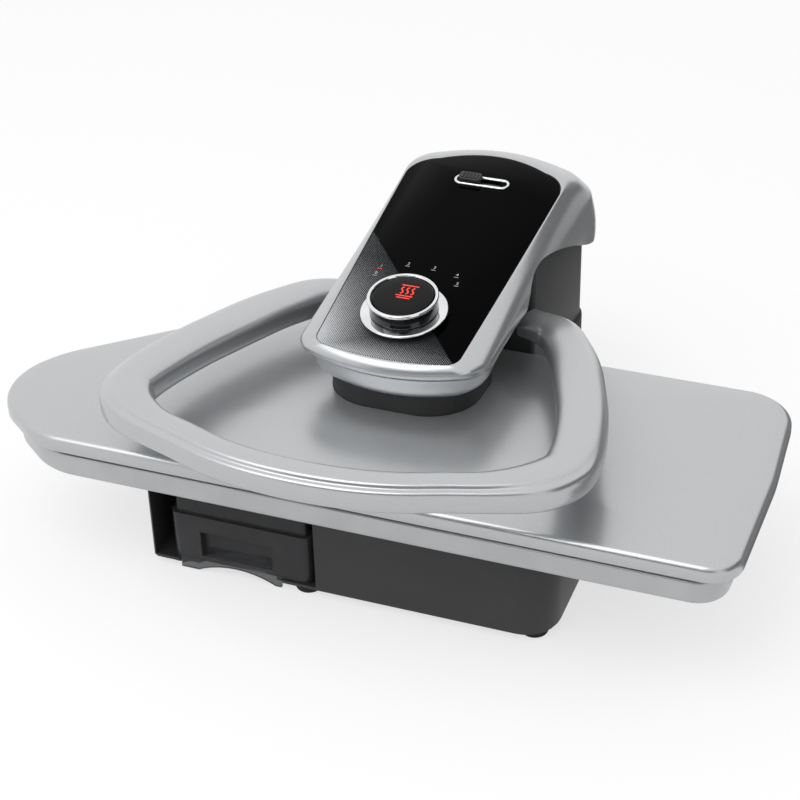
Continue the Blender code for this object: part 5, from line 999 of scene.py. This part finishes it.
def handle_route(rows):
    """Evenly dense points of the loop handle's centre line, left end to right end."""
    reach = HANDLE_BACK - HANDLE_FRONT
    half = [(x * HANDLE_HALF, HANDLE_FRONT + y * reach) for x, y in HANDLE_PATH]
    path = [(-x, y) for x, y in reversed(half[1:])] + half
    dense = [Vector((ARM_X + x, y, 0)) for x, y in between(path, 24)]
    lengths = [0.0]
    for here, ahead in zip(dense, dense[1:]):
        lengths.append(lengths[-1] + (ahead - here).length)
    route = []
    place = 0
    for step in range(rows + 1):
        target = lengths[-1] * step / rows
        while place < len(dense) - 2 and lengths[place + 1] < target:
            place += 1
        share = (target - lengths[place]) / (lengths[place + 1] - lengths[place])
        spot = dense[place].lerp(dense[place + 1], share)
        heading = dense[min(place + 2, len(dense) - 1)] - dense[max(place - 1, 0)]
        route.append((spot, heading.normalized()))
    return route


def handle_section(spot, across, place):
    """One section, at a place from the handle's front at 0 to its end at 1.

    A soft slab, with a valley along its outer side between top and roll.
    """
    for start, end in zip(HANDLE_SECTIONS, HANDLE_SECTIONS[1:]):
        if place <= end[0]:
            break
    share = (place - start[0]) / (end[0] - start[0])
    ease = share * share * (3 - 2 * share)
    wide, tall, crease = (low + (high - low) * ease for low, high in zip(start[1:], end[1:]))
    width, height = wide * HANDLE_WIDE, tall * HANDLE_TALL
    centre = Vector((spot.x, spot.y, HANDLE_LEVEL + HANDLE_LEAN * (HANDLE_BACK - spot.y)))
    # the turns stand closest where the crease lies
    turns = [90 * step / 44 for step in range(44)] + [90 + 270 * step / 30 for step in range(30)]
    boxiness = 3.0
    ring = []
    for turn in turns:
        angle = math.radians(turn)
        wide, tall = math.cos(angle), math.sin(angle)
        reach = (abs(wide) ** boxiness + abs(tall) ** boxiness) ** (-1 / boxiness)
        valley = math.exp(-((turn - CREASE_TURN) / CREASE_SPREAD) ** 2)
        reach *= 1 - CREASE_DEPTH * crease * valley
        ring.append(
            centre + across * wide * reach * width / 2
            + Vector((0, 0, tall * reach * height / 2))
        )
    return ring


class PRESS_OT_handle(bpy.types.Operator):
    """Silver loop handle round the front of the head"""

    bl_idname = "press.handle"
    bl_label = "Loop handle"

    def execute(self, context):
        rows = context.scene.press.handle_rows
        rings = []
        for step, (spot, heading) in enumerate(handle_route(rows)):
            across = Vector((heading.y, -heading.x, 0)).normalized()
            rings.append(handle_section(spot, across, abs(2 * step / rows - 1)))
        handle = object_of("loop_handle_look", loft(rings))
        low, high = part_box("handle_crossbar")
        radius, spare = 0.0058, 0.0006
        lying = Matrix.Translation((low + high) / 2) @ Matrix.Rotation(math.pi / 2, 4, "Y")
        carve(handle, "crossbar_bore", rod(radius, high.x - low.x + spare, lying, 32))
        settle(handle, "silver_paint", "arm", ("loop_handle",), 40)
        return {"FINISHED"}


class PRESS_OT_head(bpy.types.Operator):
    """Silver head, arched over the tower, with its belly and the black panel let in"""

    bl_idname = "press.head"
    bl_label = "Head and panel"

    def execute(self, context):
        outline = self.panel(context.scene.press.panel_edge)
        head = object_of("head_shell", head_form(recess=inset(outline, -PANEL_GAP)))
        hole = neck_outline(NECK_GAP, 20)
        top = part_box("neck_collar")[1].z + 0.0005
        carve(head, "neck_hole", loft([at(hole, 0.12), at(hole, top)]))
        # the side's outline runs out in front of the head and above it
        reach, before, above = HEAD_HALF + 0.02, -0.16, 0.30
        side = [
            (HEAD_FRONT + along * HEAD_LENGTH, ARCH_LOW + up * ARCH_RISE)
            for along, up in [ARCH_FOOT] + between(ARCH, 5)
        ]
        region = [(before, side[0][1])] + side + [(side[-1][0], above), (before, above)]
        keep = loft([[(ARM_X + x, y, z) for y, z in region] for x in (-reach, reach)])
        carve(head, "head_side", keep, "INTERSECT")
        carve(head, "head_room", head_form(HEAD_WALL))
        settle(head, "silver_paint", "arm",
               ("head_upper_shell", "head_lower_shell"), 24)
        return {"FINISHED"}

    def panel(self, edge):
        """Black panel with its bevelled edge and the holes for the dial and the lock."""
        radii, bow, nose = (0.0125, 0.030), 0.0150, 0.0055
        outline = head_outline(
            PANEL_FRONT[0], PANEL_FRONT[0] + PANEL_LENGTH,
            [share * PANEL_HALF for share in (0.851, 0.932, 1.0)], radii, bow, nose,
        )
        panel = object_of("front_panel_look", loft([
            sloped(outline, PANEL_THICKNESS, PANEL_THICKNESS),
            sloped(outline, edge, edge),
            sloped(inset(outline, edge * 0.3), edge * 0.3, edge * 0.3),
            sloped(inset(outline, edge), 0, 0),
        ]))
        carve(panel, "dial_hole", rod(DIAL_BORE, 0.03, on_panel(DIAL_BACK), 48))
        outer = stadium(0.0376, 0.0076)
        slot = loft([at(outer, -0.02), at(outer, 0.02)])
        bmesh.ops.transform(slot, matrix=on_panel(LOCK_BACK), verts=slot.verts)
        carve(panel, "lock_hole", slot)
        settle(panel, "panel", "arm", ("front_panel",), 25)
        return outline


class PRESS_OT_dial(bpy.types.Operator):
    """Dial with its chrome flange and rim, and the steam button in its middle"""

    bl_idname = "press.dial"
    bl_label = "Dial and steam button"

    def execute(self, context):
        steps = context.scene.press.dial_steps
        place = on_panel(DIAL_BACK)
        top, rim, bezel, bore = BEZEL_TOP, RIM_LOW, BEZEL_LOW, DIAL_BORE
        # node, finish, round of its edges, and its profile as radius and height
        for node, finish, width, profile in (
            ("dial_collar", "dark_plastic", 0.0003, (
                (bore, 0.0004), (0.029, 0.0004), (0.0288, 0.0030), (0.0290, 0.0050),
                (bore, 0.0050),
            )),
            ("dial_bezel", "chrome", 0.0002, (
                (bore, bezel), (0.0352, bezel), (0.0364, bezel + 0.0004),
                (0.0371, bezel + 0.0012), (0.0370, bezel + 0.0020), (0.0364, bezel + 0.0026),
                (0.0352, bezel + 0.0029), (0.0330, top - 0.0002), (0.0300, top), (bore, top),
            )),
            ("dial_grip", "dial_paint", 0.0003, (
                (0.0035, -0.0098), (0.0058, -0.0098), (0.0058, top + 0.0003),
                (0.0286, top + 0.0003), (0.0292, top + 0.0012), (0.0287, top + 0.0060),
                (0.0292, top + 0.0108), (0.0292, top + 0.0115), (0.0263, top + 0.0115),
                (0.0263, top + 0.0033), (0.0035, top + 0.0033),
            )),
            ("dial_rim", "chrome", 0.0002, (
                (0.0268, rim), (0.0298, rim), (0.0302, rim + 0.0006), (0.0302, rim + 0.0016),
                (0.0296, rim + 0.0025), (0.0287, rim + 0.0028), (0.0275, rim + 0.0025),
                (0.0268, rim + 0.0014),
            )),
            ("button_cap", "black_gloss", 0.0003, (
                (0.0, -0.0118), (0.0030, -0.0118), (0.0030, rim - 0.0043),
                (0.0256, rim - 0.0043), (0.0258, rim + 0.0014), (0.0250, rim + 0.0020),
                (0.0150, rim + 0.0022), (0.0, rim + 0.0022),
            )),
        ):
            bm = turned(profile, steps)
            soften(bm, width, 2, 25)
            bmesh.ops.transform(bm, matrix=place, verts=bm.verts)
            piece(node + "_look", bm, finish, (node,))
        self.sign(place)
        return {"FINISHED"}

    def sign(self, place):
        """Three rising waves between bars, a plain sign for steam, lit in red."""
        bm = bmesh.new()
        for column in (-0.0027, 0.0020, 0.0067):
            wave = []
            for step in range(17):
                share = step / 16
                sway = 0.0013 * math.sin(share * math.tau) + 0.0010 * (share - 0.5)
                wave.append((column + sway, 0.0020 + 0.0090 * share))
            self.ribbon(bm, wave)
        for left, right, y in ((-0.0052, 0.0098, 0.0135), (-0.0062, 0.0086, -0.0004),
                               (-0.0046, 0.0070, -0.0032)):
            self.ribbon(bm, [(left, y), (right, y)])
        bmesh.ops.transform(bm, matrix=place, verts=bm.verts)
        settle(object_of("steam_sign", bm), "lit_ink", "button", (), 30)

    def ribbon(self, bm, rows):
        """Flat printed line along a row of points, 1.2 mm wide and 0.08 mm thick."""
        half, height = 0.0006, RIM_LOW + 0.00235
        left, right = [], []
        for index, (x, y) in enumerate(rows):
            before = Vector(rows[max(index - 1, 0)])
            after = Vector(rows[min(index + 1, len(rows) - 1)])
            along = (after - before).normalized()
            left.append((x - along.y * half, y + along.x * half, height))
            right.append((x + along.y * half, y - along.x * half, height))
        lines = []
        for side in (left, right):
            spots = [bm.verts.new(spot) for spot in side]
            lines += [bm.edges.new(pair) for pair in zip(spots, spots[1:])]
        made = bmesh.ops.bridge_loops(bm, edges=lines)["faces"]
        bmesh.ops.solidify(bm, geom=made, thickness=0.00008)


class PRESS_OT_scale(bpy.types.Operator):
    """Printed scale behind the dial: numbers from 0 to 5, the dash at 1 lit"""

    bl_idname = "press.scale"
    bl_label = "Dial scale"

    def execute(self, context):
        dial = on_panel(DIAL_BACK)
        # lift keeps the film's middle off the panel, and the dash of the lit number glows
        lift, lit = 0.00006, 1
        for number, (x, y) in enumerate((
            (-0.0455, 0.0490), (-0.0445, 0.0590), (-0.0224, 0.0682), (0.0015, 0.0683),
            (0.0240, 0.0634), (0.0280, 0.0519),
        )):
            text = bpy.data.curves.new("number", "FONT")
            text.body = str(number)
            text.size = 0.0050
            text.align_x = "CENTER"
            text.extrude = 0.00003
            holder = link("number", text)
            graph = bpy.context.evaluated_depsgraph_get()
            mesh = bpy.data.meshes.new_from_object(holder.evaluated_get(graph))
            bpy.data.objects.remove(holder)
            mesh.transform(dial @ Matrix.Translation((x, y + 0.0004, lift)))
            settle(link(f"scale_number_{number}", mesh), "ink", "arm")
            dash = bmesh.new()
            bmesh.ops.create_cube(dash, size=1.0, matrix=(
                dial @ Matrix.Translation((x, y - 0.0016, lift))
                @ Matrix.Diagonal((0.0040, 0.0006, 0.00008, 1))
            ))
            settle(object_of(f"scale_dash_{number}", dash),
                   "lit_ink" if number == lit else "ink", "arm")
        return {"FINISHED"}


class PRESS_OT_lock(bpy.types.Operator):
    """Carrying lock: chrome ring and the ribbed black slider in it"""

    bl_idname = "press.lock"
    bl_label = "Carrying lock"

    def execute(self, context):
        low, top, wall = 0.0003, 0.0021, 0.0028
        ring = loft(stack(stadium(0.0530, 0.0150), (
            (0.0, low), (0.0, top - 0.0009), (0.0004, top - 0.0003), (0.0011, top),
            (0.0017, top), (0.0024, top - 0.0004), (wall, top - 0.0010), (wall, low),
        )), closed=True)
        bmesh.ops.transform(ring, matrix=on_panel(LOCK_BACK), verts=ring.verts)
        piece("lock_bezel_look", ring, "chrome", ("lock_bezel",), 50)
        slider = loft(stack(round_box((-0.0105, -0.006), (0.0105, 0.006), 0.003), (
            (0.0, 0.0024), (0.0, 0.0056), (0.0003, 0.0061), (0.0010, 0.0064),
        )))
        rib_pitch = 0.0032
        for rib in range(-2, 3):
            bmesh.ops.create_cube(slider, size=1.0, matrix=(
                Matrix.Translation((rib * rib_pitch, 0, 0.0066))
                @ Matrix.Diagonal((0.0015, 0.0086, 0.0008, 1))
            ))
        stem = round_box((-0.003, -0.003), (0.003, 0.003), 0.0004, 3)
        loft([at(stem, -0.0086), at(stem, 0.0026)], bm=slider)
        bmesh.ops.transform(slider, matrix=on_panel(LOCK_BACK, -0.011), verts=slider.verts)
        piece("lock_slider_look", slider, "neck", ("lock_slider",))
        return {"FINISHED"}


class PRESS_OT_neck(bpy.types.Operator):
    """Black sleeve between the head and the shoe"""

    bl_idname = "press.neck"
    bl_label = "Neck"

    def execute(self, context):
        low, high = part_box("neck_collar")
        wall, soft = 0.003, 0.0005
        rings = stack(fitted(neck_outline(0.0, 24), low, high), (
            (0.0, low.z), (0.0, high.z - soft), (soft, high.z), (wall, high.z), (wall, low.z),
        ))
        piece("neck_look", loft(rings, closed=True), "neck", ("neck_collar",))
        return {"FINISHED"}


class PRESS_OT_body(bpy.types.Operator):
    """Base, plate and tower, with their moulded edges rounded"""

    bl_idname = "press.body"
    bl_label = "Base and tower"

    def execute(self, context):
        soft_copy("base_shell", "dark_plastic", 0.0009, 3)
        soft_copy("base_plate", "dark_plastic", 0.0004)
        soft_copy("column_shell", "grey_plastic", 0.0009, 3)
        return {"FINISHED"}


class PRESS_OT_tank(bpy.types.Operator):
    """Smoky water tank with its pull arch, spigot and ribbed cap"""

    bl_idname = "press.tank"
    bl_label = "Water tank"

    def execute(self, context):
        soft_copy("water_tank", "smoke_plastic", 0.0006, 3)
        soft_copy("tank_cap", "dark_plastic", 0.0004)
        soft_copy("tank_spigot", "dark_plastic", 0.0003)
        return {"FINISHED"}


class PRESS_OT_feet(bpy.types.Operator):
    """Rubber feet, turned, each with a ring groove"""

    bl_idname = "press.feet"
    bl_label = "Feet"

    def execute(self, context):
        for node in sorted(BODY_OF):
            if not node.startswith("foot_"):
                continue
            low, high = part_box(node)
            centre = (low + high) / 2
            bm = turned((
                (0, 0), (0.0102, 0), (0.0112, 0.0006), (0.0119, 0.0022), (0.0116, 0.0030),
                (0.0119, 0.0038), (0.0120, high.z), (0, high.z),
            ), 48)
            soften(bm, 0.0003)
            bmesh.ops.translate(bm, vec=(centre.x, centre.y, 0), verts=bm.verts)
            piece(node + "_look", bm, "rubber", (node,))
        return {"FINISHED"}


class PRESS_OT_works(bpy.types.Operator):
    """Finishes of the parts inside, which show when the press is opened"""

    bl_idname = "press.works"
    bl_label = "Inner parts"

    def execute(self, context):
        for node in ("sole_plate", "heat_block", "arm_frame", "hinge_bracket",
                     "handle_crossbar", "hinge_shaft", "shoe_mount", "cord_inlet",
                     "tank_dock", "pump_body"):
            soft_copy(node, SLOT_OF[node], 0.0003, angle=12)
        for node, item in frame["nodes"].items():
            item.data.materials.clear()
            item.data.materials.append(finishes()[SLOT_OF[node]])
        return {"FINISHED"}


class PRESS_OT_stage(bpy.types.Operator):
    """Pale floor, soft studio lamp, reflection cards and the camera"""

    bl_idname = "press.stage"
    bl_label = "Stage"

    def execute(self, context):
        scene = context.scene
        scene.view_settings.view_transform = "Standard"
        self.floor(scene.press.backdrop)
        self.world(scene)
        self.lamp("key box", (-0.50, -1.00, 1.90), (0.0, -0.05, 0.1), 1.6, 16.0)
        self.flags()
        self.camera(scene)
        return {"FINISHED"}

    def facing(self, place, aim):
        """Rotation of a lamp, a card or a camera at a place that looks at another."""
        return (Vector(aim) - Vector(place)).to_track_quat("-Z", "Y")

    def card(self, name, material, matrix):
        """Flat square, 1 m wide before its matrix, that belongs to the stage."""
        bm = bmesh.new()
        bmesh.ops.create_grid(bm, x_segments=1, y_segments=1, size=0.5)
        bmesh.ops.transform(bm, verts=bm.verts, matrix=matrix)
        item = object_of(name, bm)
        item.data.materials.append(material)

    def seen_rays(self, tree):
        """1 where the camera, a mirror or glass sees a surface, else 0."""
        rays = add(tree, "ShaderNodeLightPath").outputs
        first = add(tree, "ShaderNodeMath", {
            "operation": "MAXIMUM", 0: rays["Is Camera Ray"], 1: rays["Is Glossy Ray"],
        })
        return add(tree, "ShaderNodeMath", {
            "operation": "MAXIMUM", 0: first, 1: rays["Is Transmission Ray"],
        })

    def floor(self, backdrop):
        """Matt white floor that keeps the press's shadow."""
        material, tree = blank("white paper backdrop")
        matt = tuple(0.3 * part for part in backdrop) + (1.0,)
        paper = add(tree, "ShaderNodeBsdfDiffuse", {"Color": matt})
        glow = add(tree, "ShaderNodeEmission", {
            "Color": tuple(backdrop) + (1.0,), "Strength": 0.68,
        })
        both = add(tree, "ShaderNodeAddShader", {0: paper, 1: glow})
        mix = add(tree, "ShaderNodeMixShader", {0: self.seen_rays(tree), 1: paper, 2: both})
        add(tree, "ShaderNodeOutputMaterial", {"Surface": mix})
        self.card("floor", material, Matrix.Diagonal((24, 24, 1, 1)))

    def world(self, scene):
        """Light that falls off towards the horizon, seen as white."""
        world = bpy.data.worlds.new("studio")
        scene.world = world
        world.use_nodes = True
        tree = world.node_tree
        tree.nodes.clear()
        ways = add(tree, "ShaderNodeTexCoord").outputs["Generated"]
        rise = add(tree, "ShaderNodeSeparateXYZ", {"Vector": ways}).outputs["Z"]
        level = add(tree, "ShaderNodeMapRange", {
            "Value": rise, "From Min": 0.0, "From Max": 0.8, "To Min": 0.22, "To Max": 1.03,
        })
        light, seen = (add(tree, "ShaderNodeBackground", {
            "Color": (1, 1, 1, 1), "Strength": strength,
        }) for strength in (level, 1.0))
        mix = add(tree, "ShaderNodeMixShader", {0: self.seen_rays(tree), 1: light, 2: seen})
        add(tree, "ShaderNodeOutputWorld", {"Surface": mix})

    def lamp(self, name, place, aim, size, watts):
        """Large soft box over the left front."""
        light = bpy.data.lights.new(name, "AREA")
        light.shape = "SQUARE"
        light.size = size
        light.energy = watts
        item = link(name, light)
        item.location = place
        item.rotation_euler = self.facing(place, aim).to_euler()

    def flags(self):
        """Grey cards round the press, which only show as reflections in the paint."""
        material, tree = blank("grey flag cloth")
        rays = add(tree, "ShaderNodeLightPath")
        cloth = add(tree, "ShaderNodeBsdfDiffuse", {"Color": tone("#787878")})
        clear = add(tree, "ShaderNodeBsdfTransparent")
        mix = add(tree, "ShaderNodeMixShader", {
            0: rays.outputs["Is Glossy Ray"], 1: clear, 2: cloth,
        })
        add(tree, "ShaderNodeOutputMaterial", {"Surface": mix})
        for name, place, aim, wide, tall in (
            ("front flag", (0.3, -3.0, 1.65), (0.0, 0.0, 0.4), 3.6, 1.5),
            ("low flag", (0.74, 0.56, 0.004), (0.74, 0.56, -1.0), 1.2, 1.2),
            ("back flag", (1.30, 1.50, 0.46), (0.0, 0.0, 0.25), 2.2, 0.9),
            ("right flag", (2.3, 0.1, 0.9), (0.0, 0.0, 0.3), 2.6, 1.7),
        ):
            turn = self.facing(place, aim).to_matrix().to_4x4()
            self.card(name, material, (
                Matrix.Translation(place) @ turn @ Matrix.Diagonal((wide, tall, 1, 1))
            ))

    def camera(self, scene):
        """Camera at the photograph's place: 19 degrees right of the front, 31 up."""
        lens = bpy.data.cameras.new("camera")
        item = link("camera", lens)
        item.location = (0.48207, -1.24328, 0.92745)
        turn, rise = math.radians(18.98), math.radians(31.41)
        heading = Vector((
            -math.sin(turn) * math.cos(rise), math.cos(turn) * math.cos(rise), -math.sin(rise)
        ))
        item.rotation_euler = heading.to_track_quat("-Z", "Y").to_euler()
        # focal length and middle of the picture, in its pixels
        picture, focal, middle_x, middle_y = 800, 1773.2, 473.9, 389.6
        lens.sensor_width = 36
        lens.lens = focal / picture * 36
        lens.shift_x = -(middle_x - picture / 2) / picture
        lens.shift_y = (middle_y - picture / 2) / picture
        scene.camera = item


class PRESS_PT_panel(bpy.types.Panel):
    """Sidebar list of the press's operators and settings"""

    bl_label = "Steam press"
    bl_idname = "PRESS_PT_panel"
    bl_space_type = "VIEW_3D"
    bl_region_type = "UI"
    bl_category = "Press"

    def draw(self, context):
        settings = context.scene.press
        for key in ("rim_round", "crown", "panel_edge", "dial_steps", "handle_rows",
                    "backdrop"):
            self.layout.prop(settings, key)
        for operator in OPERATORS:
            self.layout.operator(operator.bl_idname)


OPERATORS = (
    PRESS_OT_shoe,
    PRESS_OT_pan,
    PRESS_OT_pad,
    PRESS_OT_handle,
    PRESS_OT_head,
    PRESS_OT_dial,
    PRESS_OT_scale,
    PRESS_OT_lock,
    PRESS_OT_neck,
    PRESS_OT_body,
    PRESS_OT_tank,
    PRESS_OT_feet,
    PRESS_OT_works,
    PRESS_OT_stage,
)
CLASSES = (PressSettings, *OPERATORS, PRESS_PT_panel)


def register():
    """Register the classes and the group of settings."""
    for one in CLASSES:
        bpy.utils.register_class(one)
    bpy.types.Scene.press = bpy.props.PointerProperty(type=PressSettings)


def unregister():
    """Take the settings and the classes away again."""
    del bpy.types.Scene.press
    for one in reversed(CLASSES):
        bpy.utils.unregister_class(one)


def main():
    """Build the press."""
    register()
    bpy.ops.press.shoe()
    bpy.ops.press.pan()
    bpy.ops.press.pad()
    bpy.ops.press.handle()
    bpy.ops.press.head()
    bpy.ops.press.dial()
    bpy.ops.press.scale()
    bpy.ops.press.lock()
    bpy.ops.press.neck()
    bpy.ops.press.body()
    bpy.ops.press.tank()
    bpy.ops.press.feet()
    bpy.ops.press.works()
    bpy.ops.press.stage()


if __name__ == "__main__":
    main()
